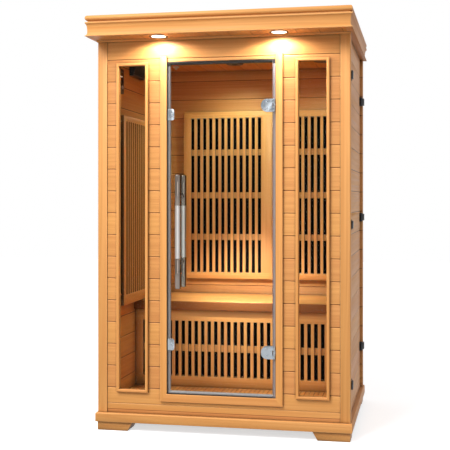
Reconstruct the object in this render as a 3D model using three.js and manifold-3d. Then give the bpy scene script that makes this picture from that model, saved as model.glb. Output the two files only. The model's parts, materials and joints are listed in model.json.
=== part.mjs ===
// Two-person infrared sauna cabin: boarded wall panels clasped together on a plinth, a moulded roof,
// a frameless glass door, slatted heater grilles and a bench.
// Millimetres, +Z up. The origin is on the ground under the middle of the roof, and the door faces -Y.

import * as THREE from 'three';
import { mergeGeometries, mergeVertices } from 'three/addons/utils/BufferGeometryUtils.js';
import Module from 'manifold-3d';

const wasm = await Module();
wasm.setup();

// Overall sizes
const CABIN_WIDTH = 1172;
const CABIN_DEPTH = 905;
const TOTAL_HEIGHT = 1907;
const ROOF_SIDE_OVERHANG = 18;
const ROOF_FRONT_OVERHANG = 130;
const ROOF_BACK_OVERHANG = 15;

// Base: corner feet, plinth frame and slatted floor
const FOOT_HEIGHT = 40;
const FOOT_LENGTH = 145;
const FOOT_SLANT = 24;
const FOOT_DEPTH = 100;
const FOOT_INSET = 9;
const PLINTH_HEIGHT = 42;
const PLINTH_RAIL = 75;
const PLINTH_EASE = 4;
const PLINTH_FRONT_PROUD = 16;
const PLINTH_SIDE_PROUD = 8;
const FLOOR_THICKNESS = 48;
const FLOOR_BOARD = 45;
const FLOOR_GAP = 1;

// Walls of tongued and grooved boards
const POST_SIZE = 45;
const POST_EASE = 3;
const BOARD_RECESS = 4;
const BACK_THICKNESS = 45;
const SIDE_THICKNESS = 36;
const SIDE_SETBACK = 14;
const BOARD_PITCH = 101.3;
const TOP_SEAM_BELOW_EAVES = 93;
const LOWEST_BOARD = 44;
const SEAM_WIDTH = 5;
const SEAM_DEPTH = 3;

// Door opening and its casing
const DOOR_OPENING_WIDTH = 504;
const DOOR_SILL = 97;
const DOOR_HEAD_BELOW_EAVES = 109;
const CASING_WIDTH = 32.5;
const CASING_SILL_WIDTH = 37;
const CASING_ABOVE_OPENING = 25;
const CASING_PROUD = 12;
const CASING_EASE = 2;
const GASKET_WIDTH = 14;
const GASKET_DEPTH = 15;
const GASKET_LIP = 4;
const GASKET_GAP = 0.4;

// Windows beside the door
const WINDOW_FROM_CASING = 71;
const WINDOW_FROM_POST = 60.5;
const WINDOW_SILL = 111;
const WINDOW_TOP_BELOW_EAVES = 123;
const TRIM_WIDTH = 13.5;
const TRIM_PROUD = 14;
const TRIM_EASE = 2.5;
const TRIM_SLEEVE = 8;
const WINDOW_RECESS = 30;
const PANE_THICKNESS = 6;

// Glass door, its hinges, catches and bar handle
const DOOR_THICKNESS = 8;
const DOOR_BEHIND_CASING = 3;
const DOOR_EDGE_GAP = 4;
const DOOR_FREE_GAP = 5;
const DOOR_HINGE_GAP = 14;
const HINGE_ABOVE_SILL = 205;
const HINGE_BELOW_HEAD = 209;
const HINGE_HEIGHT = 58;
const HINGE_CLAMP_WIDTH = 51;
const HINGE_CLAMP_CORNER = 26;
const HINGE_CLAMP_THICKNESS = 5;
const HINGE_PIN_FROM_JAMB = 6;
const HINGE_PIN_BEFORE_GLASS = 4;
const HINGE_KNUCKLE_RADIUS = 5;
const HINGE_PIN_RADIUS = 2.5;
const HINGE_RUNNING_GAP = 0.4;
const HINGE_MIDDLE_KNUCKLE = 20;
const HINGE_LEAF = 2.2;
const HINGE_WEB = 4;
const HINGE_WEB_SET_BACK = 1;
const CLAMP_FROM_EDGE = 0.4;
const CLAMP_BOLT_RADIUS = 4;
const CLAMP_BOLT_SPACING = 28;
const CLAMP_BOLT_FROM_EDGE = 26;
const CATCH_ABOVE_SILL = 228;
const CATCH_BELOW_HEAD = 243;
const CATCH_WIDTH = 31;
const CATCH_CORNER = 11;
const CATCH_HEIGHT = 53;
const CATCH_THICKNESS = 4;
const CATCH_FROM_EDGE = 0.4;
const CATCH_BOLT_FROM_EDGE = 20;
const CATCH_NUT_RADIUS = 8;
const GLASS_HOLE_GAP = 0.4;
const HANDLE_FROM_EDGE = 59;
const HANDLE_ABOVE_SILL = 488;
const HANDLE_LENGTH = 517;
const HANDLE_RADIUS = 14;
const HANDLE_END_EASE = 3;
const HANDLE_STANDOFF = 47.5;
const HANDLE_FIXING_RISE = 120;
const HANDLE_FIXING_SPACING = 300;
const HANDLE_POST_RADIUS = 8;
const HANDLE_FLANGE_RADIUS = 13;
const HANDLE_FLANGE = 4;

// Roof
const CORNICE_HEIGHT = 95;
const CORNICE_THICKNESS = 30;
const CORNICE_NECK = 9;
const CORNICE_NECK_RISE = 23;
const CORNICE_LIP = 4;
const BEAD_RISE = 58;
const BEAD_HEIGHT = 6;
const NOSING_HEIGHT = 25;
const NOSING_DEPTH = 11;
const COVER_REBATE = 12;
const COVER_THICKNESS = 8;
const COVER_DROP = 14;
const COVER_GAP = 1;
const DECK_THICKNESS = 26;
const CEILING_THICKNESS = 39;
const CEILING_GAP = 1;
const CEILING_BOARD = 101;
const DOWNLIGHT_OFFSET = 276;
const DOWNLIGHT_FROM_FRONT = 60;
const DOWNLIGHT_BEZEL_RADIUS = 42;
const DOWNLIGHT_BODY_RADIUS = 35;
const DOWNLIGHT_LENS_RADIUS = 33;
const DOWNLIGHT_BODY = 15;
const DOWNLIGHT_PROUD = 3;
const DOWNLIGHT_GAP = 0.6;
const RIGHT_LIGHT_FROM_WALL = 130;
const MIDDLE_LIGHT_FROM_MIDDLE = -47;
const RIGHT_LIGHT_FROM_FRONT = 513;
const MIDDLE_LIGHT_FROM_FRONT = 525;
const CEILING_LIGHT_RADIUS = 46;
const CEILING_LIGHT_LENS_RADIUS = 26;
const CEILING_LIGHT_PROUD = 9;

// Slatted heater grilles and the plates behind them
const SLOT_WIDTH = 18.5;
const SLOT_PITCH = 33.5;
const SLAT_THICKNESS = 12;
const BATTEN_THICKNESS = 12;
const BATTEN_LAP = 1;
const GRILLE_DEPTH = 42;
const GRILLE_STILE = 40;
const GRILLE_FAR_STILE = 28;
const BACK_GRILLE_FROM_LEFT_WALL = 157;
const BACK_GRILLE_FROM_RIGHT_WALL = 6;
const BACK_GRILLE_JOINT = 106;
const BACK_GRILLE_JOINT_GAP = 0.5;
const BACK_GRILLE_ABOVE_BENCH = 81;
const BACK_GRILLE_BELOW_CEILING = 226;
const BACK_GRILLE_RAIL = 33;
const BACK_GRILLE_LOWER_ROWS = [176, 194, 200];
const BACK_GRILLE_BATTEN = 32;
const SIDE_GRILLE_FROM_FRONT = 64.5;
const SIDE_GRILLE_FROM_BACK_GRILLE = 18;
const SIDE_GRILLE_ABOVE_BENCH = 3;
const SIDE_GRILLE_BELOW_CEILING = 300;
const SIDE_GRILLE_BOTTOM_RAIL = 49;
const SIDE_GRILLE_TOP_RAIL = 25;
const CALF_GRILLE_BEHIND_BENCH = 22;
const CALF_GRILLE_LOWER_ROW = 125;
const CALF_GRILLE_BATTEN = 34;
const CALF_GRILLE_BOTTOM_RAIL = 52;
const CALF_GRILLE_TOP_RAIL = 80;
const CALF_GRILLE_GAP = 1;
const CALF_HEATER_INSET = 33;
const CALF_HEATER_LAP = 25;
const HEATER_THICKNESS = 6;
const HEATER_GAP = 3;

// Bench
const BENCH_TOP = 563;
const BENCH_DEPTH = 452;
const BENCH_THICKNESS = 22;
const BENCH_RAIL_HEIGHT = 44;
const BENCH_EASE = 6;
const BENCH_BOARD = 88;
const CLEAT_SIZE = 25;
const CLEAT_BEHIND_BENCH = 90;

// Control panel and speaker on the left wall
const CONTROL_BELOW_CEILING = 74;
const CONTROL_HEIGHT = 118;
const CONTROL_FROM_FRONT = 20;
const CONTROL_LENGTH = 120;
const CONTROL_THICKNESS = 18;
const CONTROL_BACK = 8;
const CONTROL_CORNER = 8;
const CONTROL_KEY_HEIGHT = 30;
const CONTROL_KEY_PITCH = 34;
const CONTROL_DISPLAY_WIDTH = 92;
const CONTROL_DISPLAY_HEIGHT = 42;
const CONTROL_DISPLAY_RISE = 60;
const CONTROL_DISPLAY_DEPTH = 2;
const KEY_NAMES = ['button_down', 'button_power', 'button_up'];
const KEY_RADIUS = 9;
const KEY_GAP = 0.5;
const KEY_PROUD = 3;
const KEY_TRAVEL_ROOM = 3;
const KEY_EASE = 1;
const SPEAKER_FROM_FRONT = 285;
const SPEAKER_LENGTH = 200;
const SPEAKER_HEIGHT = 78;
const SPEAKER_TOP_DEPTH = 46;
const SPEAKER_BOTTOM_DEPTH = 18;
const SPEAKER_LIP = 14;
const SPEAKER_BELOW_CEILING = 4;

// Clasps between the wall panels
const CLASP_FRONT_LOWER_RISE = 161;
const CLASP_FRONT_MIDDLE_RISE = 877;
const CLASP_FRONT_UPPER_DROP = 184;
const CLASP_BACK_LOWER_RISE = 218;
const CLASP_BACK_MIDDLE_RISE = 897;
const CLASP_BACK_UPPER_DROP = 225;
const CLASP_PIVOT_OUT = 8;
const CLASP_PIVOT_BACK = 32;
const CLASP_HEIGHT = 34;
const CLASP_EYE_RADIUS = 6;
const CLASP_PIN_RADIUS = 1.9;
const CLASP_PIN_GAP = 0.4;
const CLASP_REACH = 50;
const CLASP_LEVER = 4;
const CLASP_LEVER_CLEARANCE = 1;
const CLASP_LIP = 4;
const CLASP_LIP_GAP = 0.4;
const CLASP_EAR = 4;
const CLASP_EAR_GAP = 0.5;
const CLASP_EAR_RADIUS = 7;
const KEEPER_WIDTH = 4;
const KEEPER_RISE = 3;
const KEEPER_LIP_GAP = 2;

// Facets and modelling tolerances
const WELD = 1e-4;
const OVERLAP = 1;
const FINE_SEGMENTS = 16;
const ROUND_SEGMENTS = 16;
const SMALL_SEGMENTS = 8;
const CURVE_STEPS = 3;
const CORNER_STEPS = 5;
const CORNICE_STEPS = 6;

// Planes that the pieces share
const ROOF_HALF_WIDTH = CABIN_WIDTH / 2 + ROOF_SIDE_OVERHANG;
const ROOF_HALF_DEPTH = (CABIN_DEPTH + ROOF_FRONT_OVERHANG + ROOF_BACK_OVERHANG) / 2;
const BACK = ROOF_HALF_DEPTH - ROOF_BACK_OVERHANG;
const FRONT = BACK - CABIN_DEPTH;
const POST_FACE = CABIN_WIDTH / 2;
const POST_INNER = POST_FACE - POST_SIZE;
const FRONT_INSIDE = FRONT + POST_SIZE;
const BACK_INSIDE = BACK - BACK_THICKNESS;
const BOARD_FACE = FRONT + BOARD_RECESS;
const SIDE_FACE = POST_FACE - SIDE_SETBACK;
const SIDE_INSIDE = SIDE_FACE - SIDE_THICKNESS;
const BASE = FOOT_HEIGHT + PLINTH_HEIGHT;
const FLOOR_TOP = BASE + FLOOR_THICKNESS;
const EAVES = TOTAL_HEIGHT - CORNICE_HEIGHT;
const CEILING = EAVES - CEILING_THICKNESS;
const JAMB = DOOR_OPENING_WIDTH / 2;
const SILL = BASE + DOOR_SILL;
const HEAD = EAVES - DOOR_HEAD_BELOW_EAVES;
const CASING_FACE = BOARD_FACE - CASING_PROUD;
const GLASS_FRONT = CASING_FACE + DOOR_BEHIND_CASING;
const GLASS_BACK = GLASS_FRONT + DOOR_THICKNESS;
const GLASS_FREE_EDGE = -JAMB + DOOR_FREE_GAP;
const GLASS_HINGE_EDGE = JAMB - DOOR_HINGE_GAP;
const HINGE_AXIS = new THREE.Vector2(JAMB - HINGE_PIN_FROM_JAMB, GLASS_FRONT - HINGE_PIN_BEFORE_GLASS);
const WINDOW_LEFT = JAMB + CASING_WIDTH + WINDOW_FROM_CASING;
const WINDOW_RIGHT = POST_INNER - WINDOW_FROM_POST;
const WINDOW_BOTTOM = BASE + WINDOW_SILL;
const WINDOW_TOP = EAVES - WINDOW_TOP_BELOW_EAVES;
const PANE_FRONT = BOARD_FACE - TRIM_PROUD + WINDOW_RECESS;
const BENCH_FRONT = BACK_INSIDE - BENCH_DEPTH;
const CALF_GRILLE_FACE = BENCH_FRONT + CALF_GRILLE_BEHIND_BENCH;
const HINGE_HEIGHTS = [SILL + HINGE_ABOVE_SILL, HEAD - HINGE_BELOW_HEAD];
const CATCH_HEIGHTS = [SILL + CATCH_ABOVE_SILL, HEAD - CATCH_BELOW_HEAD];
const HANDLE_X = GLASS_FREE_EDGE + HANDLE_FROM_EDGE;
const HANDLE_BOTTOM = SILL + HANDLE_ABOVE_SILL;
const HANDLE_LOW_FIXING = HANDLE_BOTTOM + HANDLE_FIXING_RISE;
const HANDLE_FIXINGS = [HANDLE_LOW_FIXING, HANDLE_LOW_FIXING + HANDLE_FIXING_SPACING];
const BENCH_UNDERSIDE = BENCH_TOP - BENCH_THICKNESS;
const CONTROL_FRONT = FRONT_INSIDE + CONTROL_FROM_FRONT;
const CONTROL_TOP = CEILING - CONTROL_BELOW_CEILING;
const CONTROL_BOTTOM = CONTROL_TOP - CONTROL_HEIGHT;
const SPEAKER_FRONT = FRONT_INSIDE + SPEAKER_FROM_FRONT;

// Finishes
function finish(color, roughness, metalness) {
  return new THREE.MeshStandardMaterial({ color, roughness, metalness });
}

const HEMLOCK = finish(0xd9a066, 0.55, 0);
const HEMLOCK_LIGHT = finish(0xe8bb86, 0.5, 0);
const GLASS = finish(0xdfe8e6, 0.05, 0);
GLASS.transparent = true;
GLASS.opacity = 0.25;
const GASKET = finish(0xa9a6ab, 0.6, 0);
const CHROME = finish(0xc9ccd0, 0.12, 1);
const BLACK_METAL = finish(0x17181a, 0.45, 0.6);
const HEATER_BLACK = finish(0x101010, 0.8, 0);
const BLACK_PLASTIC = finish(0x151515, 0.5, 0);
const KEY_GREY = finish(0x8f9296, 0.5, 0);
const LENS = finish(0xfff3d6, 0.25, 0);

const sauna = new THREE.Group();

function add(name, geometry, material) {
  const mesh = new THREE.Mesh(geometry, material);
  mesh.name = name;
  sauna.add(mesh);
}

// Solids

// Welds the corners of a geometry, drops collapsed triangles and turns its faces outwards.
function closed(geometry) {
  const bare = geometry.index ? geometry.clone() : geometry;
  bare.deleteAttribute('normal');
  bare.deleteAttribute('uv');
  const welded = mergeVertices(bare, WELD);
  const index = Array.from(welded.index.array);
  const kept = [];
  for (let i = 0; i < index.length; i += 3) {
    const [a, b, c] = index.slice(i, i + 3);
    if (a !== b && b !== c && c !== a) kept.push(a, b, c);
  }
  const position = welded.attributes.position;
  const corner = (i) => new THREE.Vector3().fromBufferAttribute(position, i);
  let volume = 0;
  for (let i = 0; i < kept.length; i += 3) {
    volume += corner(kept[i]).dot(corner(kept[i + 1]).cross(corner(kept[i + 2])));
  }
  if (volume < 0) kept.reverse();
  welded.setIndex(kept);
  return welded;
}

function toManifold(geometry) {
  const vertProperties = new Float32Array(geometry.attributes.position.array);
  const triVerts = new Uint32Array(geometry.index.array);
  return new wasm.Manifold(new wasm.Mesh({ numProp: 3, vertProperties, triVerts }));
}

function fromManifold(solid) {
  const mesh = solid.getMesh();
  const geometry = new THREE.BufferGeometry();
  geometry.setAttribute('position', new THREE.BufferAttribute(mesh.vertProperties, 3));
  geometry.setIndex(new THREE.BufferAttribute(mesh.triVerts, 1));
  return geometry;
}

function joined(first, ...others) {
  return fromManifold(others.reduce((solid, other) => solid.add(toManifold(other)), toManifold(first)));
}

function cut(body, ...tools) {
  return fromManifold(tools.reduce((solid, tool) => solid.subtract(toManifold(tool)), toManifold(body)));
}

function mirrored(geometry) {
  return closed(geometry.clone().scale(-1, 1, 1));
}

function block(x0, x1, y0, y1, z0, z1) {
  const box = new THREE.BoxGeometry(Math.abs(x1 - x0), Math.abs(y1 - y0), Math.abs(z1 - z0));
  return closed(box.translate((x0 + x1) / 2, (y0 + y1) / 2, (z0 + z1) / 2));
}

// Flat outlines run along one axis: (y, z) outlines along X, (x, z) along Y and (x, y) along Z.
const AXIS_X = new THREE.Vector3(1, 0, 0);
const AXIS_Y = new THREE.Vector3(0, 1, 0);
const AXIS_Z = new THREE.Vector3(0, 0, 1);

function extruded(shape, depth) {
  return new THREE.ExtrudeGeometry(shape, { depth, bevelEnabled: false, curveSegments: CURVE_STEPS });
}

function runAlongX(shape, x0, x1) {
  const basis = new THREE.Matrix4().makeBasis(AXIS_Y, AXIS_Z, AXIS_X);
  return closed(extruded(shape, x1 - x0).applyMatrix4(basis).translate(x0, 0, 0));
}

function runAlongY(shape, y0, y1) {
  const basis = new THREE.Matrix4().makeBasis(AXIS_X, AXIS_Z, AXIS_Y.clone().negate());
  return closed(extruded(shape, y1 - y0).applyMatrix4(basis).translate(0, y1, 0));
}

function runAlongZ(shape, z0, z1) {
  return closed(extruded(shape, z1 - z0).translate(0, 0, z0));
}

function outline(points) {
  return new THREE.Shape(points.map(([a, b]) => new THREE.Vector2(a, b)));
}

function disc(a, b, radius, segments) {
  const turn = (i) => (2 * Math.PI * i) / segments;
  const corner = (i) => [a + radius * Math.cos(turn(i)), b + radius * Math.sin(turn(i))];
  return outline(Array.from({ length: segments }, (_, i) => corner(i)));
}

function slot(a0, a1, b0, b1) {
  return outline([[a0, b0], [a0, b1], [a1, b1], [a1, b0]]);
}

// A solid turned about a vertical axis from (radius, height) points that start and end on the axis.
function turned(points, segments) {
  const profile = points.map(([radius, height]) => new THREE.Vector2(radius, height));
  return closed(new THREE.LatheGeometry(profile, segments).rotateX(Math.PI / 2));
}

// A moulding mitred round corners. Each section point is (out, rise): out moves along the corner's
// mitre and rise is passed on to toSpace with the place in the plane of the corners.
function mitred(section, corners, isRing, toSpace) {
  const positions = [];
  for (const { at, mitre } of corners) {
    for (const [out, rise] of section) {
      positions.push(...toSpace(at[0] + mitre[0] * out, at[1] + mitre[1] * out, rise));
    }
  }
  const count = section.length;
  const runs = isRing ? corners.length : corners.length - 1;
  const index = [];
  for (let k = 0; k < runs; k += 1) {
    const here = k * count;
    const next = ((k + 1) % corners.length) * count;
    for (let i = 0; i < count; i += 1) {
      const j = (i + 1) % count;
      index.push(here + i, here + j, next + j, here + i, next + j, next + i);
    }
  }
  if (!isRing) {
    const last = (corners.length - 1) * count;
    const flat = section.map(([out, rise]) => new THREE.Vector2(out, rise));
    const turnsLeft = !THREE.ShapeUtils.isClockWise(flat);
    for (const [a, b, c] of THREE.ShapeUtils.triangulateShape(flat, [])) {
      const cap = turnsLeft ? [a, c, b] : [a, b, c];
      index.push(...cap, last + cap[0], last + cap[2], last + cap[1]);
    }
  }
  const geometry = new THREE.BufferGeometry();
  geometry.setAttribute('position', new THREE.Float32BufferAttribute(positions, 3));
  geometry.setIndex(index);
  return closed(geometry);
}

const lyingFlat = (a, b, rise) => [a, b, rise];
const standingUp = (a, b, rise) => [a, rise, b];

function rectangle(a0, a1, b0, b1) {
  return [
    { at: [a0, b0], mitre: [-1, -1] },
    { at: [a1, b0], mitre: [1, -1] },
    { at: [a1, b1], mitre: [1, 1] },
    { at: [a0, b1], mitre: [-1, 1] },
  ];
}

// Boards: an outline with a V seam on both faces at each joint, or on one edge only.
function notch(at, face, inward) {
  return [[face, at - SEAM_WIDTH / 2], [face + inward * SEAM_DEPTH, at], [face, at + SEAM_WIDTH / 2]];
}

function wallSeams() {
  const seams = [];
  const lowest = BASE + LOWEST_BOARD;
  for (let z = EAVES - TOP_SEAM_BELOW_EAVES; z > lowest + BOARD_PITCH / 2; z -= BOARD_PITCH) seams.push(z);
  return [...seams, lowest].reverse();
}

function boardedWall(outerFace, innerFace) {
  const inward = Math.sign(innerFace - outerFace);
  const seams = wallSeams();
  const outer = seams.flatMap((z) => notch(z, outerFace, inward));
  const inner = seams.flatMap((z) => notch(z, innerFace, -inward)).reverse();
  return outline([
    [outerFace, BASE], ...outer, [outerFace, EAVES],
    [innerFace, EAVES], ...inner, [innerFace, BASE],
  ]);
}

// A slab of boards side by side, with seams cut into the edge at height `face`.
function boardedSlab(left, right, face, plainFace, board) {
  const inward = Math.sign(plainFace - face);
  const count = Math.floor((right - left) / board);
  const first = (left + right) / 2 - ((count - 1) * board) / 2;
  const seams = Array.from({ length: count }, (_, i) => first + i * board);
  const notched = seams.flatMap((at) => notch(at, face, inward).map(([height, along]) => [along, height]));
  return outline([[left, face], ...notched, [right, face], [right, plainFace], [left, plainFace]]);
}

// Base

const PLINTH_LEFT = -POST_FACE - PLINTH_SIDE_PROUD;
const PLINTH_FRONT = FRONT - PLINTH_FRONT_PROUD;
const PLINTH_BACK = BACK + PLINTH_SIDE_PROUD;

function makeFeet() {
  const outer = -PLINTH_LEFT - FOOT_INSET;
  const inner = outer - FOOT_LENGTH;
  const side = outline([[inner, 0], [outer, 0], [outer, FOOT_HEIGHT], [inner - FOOT_SLANT, FOOT_HEIGHT]]);
  const frontFace = PLINTH_FRONT + FOOT_INSET;
  const backFace = PLINTH_BACK - FOOT_INSET;
  const rows = { front: [frontFace, frontFace + FOOT_DEPTH], back: [backFace - FOOT_DEPTH, backFace] };
  for (const [row, [y0, y1]] of Object.entries(rows)) {
    const foot = runAlongY(side, y0, y1);
    add(`foot_${row}_right`, foot, HEMLOCK);
    add(`foot_${row}_left`, mirrored(foot), HEMLOCK);
  }
}

function makePlinth() {
  const section = [
    [0, FOOT_HEIGHT],
    [0, BASE - PLINTH_EASE],
    [-PLINTH_EASE, BASE],
    [-PLINTH_RAIL, BASE],
    [-PLINTH_RAIL, FOOT_HEIGHT],
  ];
  const corners = rectangle(PLINTH_LEFT, -PLINTH_LEFT, PLINTH_FRONT, PLINTH_BACK);
  add('plinth_frame', mitred(section, corners, true, lyingFlat), HEMLOCK);
}

function makeFloor() {
  const half = SIDE_INSIDE - FLOOR_GAP;
  const slab = boardedSlab(-half, half, FLOOR_TOP, BASE, FLOOR_BOARD);
  add('floor_panel', runAlongY(slab, FRONT_INSIDE + FLOOR_GAP, BACK_INSIDE - FLOOR_GAP), HEMLOCK);
}

// Clasps: levers that swing on the side walls and hook over keepers on the front posts and back wall

// Maps clasp coordinates to a clasp on the right wall: u runs from the pivot towards the clasped panel
// and v runs outwards. `towards` is -1 for the front posts and 1 for the back wall.
function claspPlace(towards) {
  const panelEdge = towards < 0 ? FRONT_INSIDE : BACK_INSIDE;
  const pivotX = SIDE_FACE + CLASP_PIVOT_OUT;
  const pivotY = panelEdge - towards * CLASP_PIVOT_BACK;
  return (geometry, z) => {
    const basis = new THREE.Matrix4().makeBasis(AXIS_Y.clone().multiplyScalar(towards), AXIS_X, AXIS_Z);
    return closed(geometry.clone().applyMatrix4(basis).translate(pivotX, pivotY, z));
  };
}

const PANEL_RISE = SIDE_SETBACK - CLASP_PIVOT_OUT;
const KEEPER_TOP = PANEL_RISE + KEEPER_RISE;
const LEVER_UNDER = KEEPER_TOP + CLASP_LEVER_CLEARANCE;
const LEVER_TOP = LEVER_UNDER + CLASP_LEVER;

function claspLever() {
  const shape = new THREE.Shape();
  const lipStart = CLASP_REACH - CLASP_LIP;
  shape.moveTo(CLASP_EYE_RADIUS, 0);
  shape.lineTo(CLASP_EYE_RADIUS + LEVER_UNDER, LEVER_UNDER);
  shape.lineTo(lipStart, LEVER_UNDER);
  shape.lineTo(lipStart, PANEL_RISE + CLASP_LIP_GAP);
  shape.lineTo(CLASP_REACH, PANEL_RISE + CLASP_LIP_GAP);
  shape.lineTo(CLASP_REACH, LEVER_TOP);
  shape.lineTo(LEVER_UNDER, LEVER_TOP);
  shape.lineTo(0, CLASP_EYE_RADIUS);
  shape.absarc(0, 0, CLASP_EYE_RADIUS, Math.PI / 2, 2 * Math.PI, false);
  shape.holes.push(disc(0, 0, CLASP_PIN_RADIUS + CLASP_PIN_GAP, SMALL_SEGMENTS));
  return runAlongZ(shape, -CLASP_HEIGHT / 2, CLASP_HEIGHT / 2);
}

function claspEars() {
  const shape = new THREE.Shape();
  const root = -CLASP_PIVOT_OUT - OVERLAP;
  shape.moveTo(-CLASP_EAR_RADIUS, root);
  shape.lineTo(CLASP_EAR_RADIUS, root);
  shape.lineTo(CLASP_EAR_RADIUS, 0);
  shape.absarc(0, 0, CLASP_EAR_RADIUS, 0, Math.PI, false);
  const near = CLASP_HEIGHT / 2 + CLASP_EAR_GAP;
  const far = near + CLASP_EAR;
  const pin = runAlongZ(disc(0, 0, CLASP_PIN_RADIUS, SMALL_SEGMENTS), -near - OVERLAP, near + OVERLAP);
  return joined(runAlongZ(shape, near, far), runAlongZ(shape, -far, -near), pin);
}

function claspKeeper() {
  const end = CLASP_REACH - CLASP_LIP - KEEPER_LIP_GAP;
  const foot = PANEL_RISE - OVERLAP;
  const section = outline([
    [end - KEEPER_WIDTH, foot], [end, foot], [end, KEEPER_TOP], [end - KEEPER_WIDTH, KEEPER_TOP],
  ]);
  return runAlongZ(section, -CLASP_HEIGHT / 2, CLASP_HEIGHT / 2);
}

const CLASPS = [
  {
    row: 'front',
    towards: -1,
    heights: [BASE + CLASP_FRONT_LOWER_RISE, BASE + CLASP_FRONT_MIDDLE_RISE, EAVES - CLASP_FRONT_UPPER_DROP],
  },
  {
    row: 'back',
    towards: 1,
    heights: [BASE + CLASP_BACK_LOWER_RISE, BASE + CLASP_BACK_MIDDLE_RISE, EAVES - CLASP_BACK_UPPER_DROP],
  },
];
const CLASP_LEVELS = ['lower', 'middle', 'upper'];

function rightKeepers(row) {
  const { towards, heights } = CLASPS.find((clasp) => clasp.row === row);
  return heights.map((z) => claspPlace(towards)(claspKeeper(), z));
}

function makeClasps() {
  for (const { row, towards, heights } of CLASPS) {
    heights.forEach((z, i) => {
      const lever = claspPlace(towards)(claspLever(), z);
      add(`clasp_right_${row}_${CLASP_LEVELS[i]}`, lever, BLACK_METAL);
      add(`clasp_left_${row}_${CLASP_LEVELS[i]}`, mirrored(lever), BLACK_METAL);
    });
  }
}

// Walls

function makePosts() {
  const shape = outline([
    [POST_INNER, FRONT],
    [POST_FACE - POST_EASE, FRONT],
    [POST_FACE, FRONT + POST_EASE],
    [POST_FACE, FRONT_INSIDE],
    [POST_INNER, FRONT_INSIDE],
  ]);
  const post = joined(runAlongZ(shape, BASE, EAVES), ...rightKeepers('front'));
  add('post_front_right', post, HEMLOCK);
  add('post_front_left', mirrored(post), HEMLOCK);
}

function makeFrontWall() {
  const boards = runAlongX(boardedWall(BOARD_FACE, FRONT_INSIDE), -POST_INNER, POST_INNER);
  const through = [BOARD_FACE - OVERLAP, FRONT_INSIDE + OVERLAP];
  const doorway = block(-JAMB, JAMB, ...through, SILL, HEAD);
  const low = WINDOW_BOTTOM - TRIM_SLEEVE;
  const high = WINDOW_TOP + TRIM_SLEEVE;
  const window = block(WINDOW_LEFT - TRIM_SLEEVE, WINDOW_RIGHT + TRIM_SLEEVE, ...through, low, high);
  add('wall_front', cut(boards, doorway, window, mirrored(window)), HEMLOCK);
}

function makeSideWalls() {
  const boards = runAlongY(boardedWall(SIDE_FACE, SIDE_INSIDE), FRONT_INSIDE, BACK_INSIDE);
  const cleat = block(
    SIDE_INSIDE - CLEAT_SIZE, SIDE_INSIDE + SEAM_DEPTH + OVERLAP,
    BENCH_FRONT + CLEAT_BEHIND_BENCH, BACK_INSIDE,
    BENCH_UNDERSIDE - CLEAT_SIZE, BENCH_UNDERSIDE,
  );
  const earsOf = ({ towards, heights }) => heights.map((z) => claspPlace(towards)(claspEars(), z));
  const ears = CLASPS.flatMap(earsOf);
  const wall = joined(boards, cleat, ...ears);
  add('wall_right', wall, HEMLOCK);
  add('wall_left', mirrored(wall), HEMLOCK);
}

function makeBackWall() {
  const boards = runAlongX(boardedWall(BACK, BACK_INSIDE), -POST_FACE, POST_FACE);
  const keepers = rightKeepers('back');
  add('wall_back', joined(boards, ...keepers, ...keepers.map(mirrored)), HEMLOCK);
}

// Door casing, gasket and windows

function makeCasing() {
  const section = [
    [0, BOARD_FACE],
    [0, CASING_FACE + CASING_EASE],
    [CASING_EASE, CASING_FACE],
    [CASING_WIDTH - CASING_EASE, CASING_FACE],
    [CASING_WIDTH, CASING_FACE + CASING_EASE],
    [CASING_WIDTH, BOARD_FACE],
  ];
  const top = HEAD + CASING_ABOVE_OPENING;
  const drop = CASING_SILL_WIDTH / CASING_WIDTH;
  const corners = [
    { at: [-JAMB, top], mitre: [-1, 0] },
    { at: [-JAMB, SILL], mitre: [-1, -drop] },
    { at: [JAMB, SILL], mitre: [1, -drop] },
    { at: [JAMB, top], mitre: [1, 0] },
  ];
  add('door_casing', mitred(section, corners, false, standingUp), HEMLOCK_LIGHT);
}

function makeGasket() {
  const front = GLASS_BACK + GASKET_GAP;
  const section = [
    [0, front + GASKET_LIP],
    [-GASKET_LIP, front],
    [-GASKET_WIDTH + GASKET_LIP, front],
    [-GASKET_WIDTH, front + GASKET_LIP],
    [-GASKET_WIDTH, front + GASKET_DEPTH],
    [0, front + GASKET_DEPTH],
  ];
  add('door_gasket', mitred(section, rectangle(-JAMB, JAMB, SILL, HEAD), true, standingUp), GASKET);
}

function makeWindows() {
  const face = BOARD_FACE - TRIM_PROUD;
  const section = [
    [TRIM_EASE, face],
    [TRIM_WIDTH - TRIM_EASE, face],
    [TRIM_WIDTH, face + TRIM_EASE],
    [TRIM_WIDTH, BOARD_FACE],
    [TRIM_SLEEVE, BOARD_FACE],
    [TRIM_SLEEVE, PANE_FRONT],
    [0, PANE_FRONT],
    [0, face + TRIM_EASE],
  ];
  const corners = rectangle(WINDOW_LEFT, WINDOW_RIGHT, WINDOW_BOTTOM, WINDOW_TOP);
  const trim = mitred(section, corners, true, standingUp);
  const pane = block(
    WINDOW_LEFT - TRIM_SLEEVE, WINDOW_RIGHT + TRIM_SLEEVE,
    PANE_FRONT, PANE_FRONT + PANE_THICKNESS,
    WINDOW_BOTTOM - TRIM_SLEEVE, WINDOW_TOP + TRIM_SLEEVE,
  );
  add('window_trim_right', trim, HEMLOCK_LIGHT);
  add('window_trim_left', mirrored(trim), HEMLOCK_LIGHT);
  add('window_pane_right', pane, GLASS);
  add('window_pane_left', mirrored(pane), GLASS);
}

// Door

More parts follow.
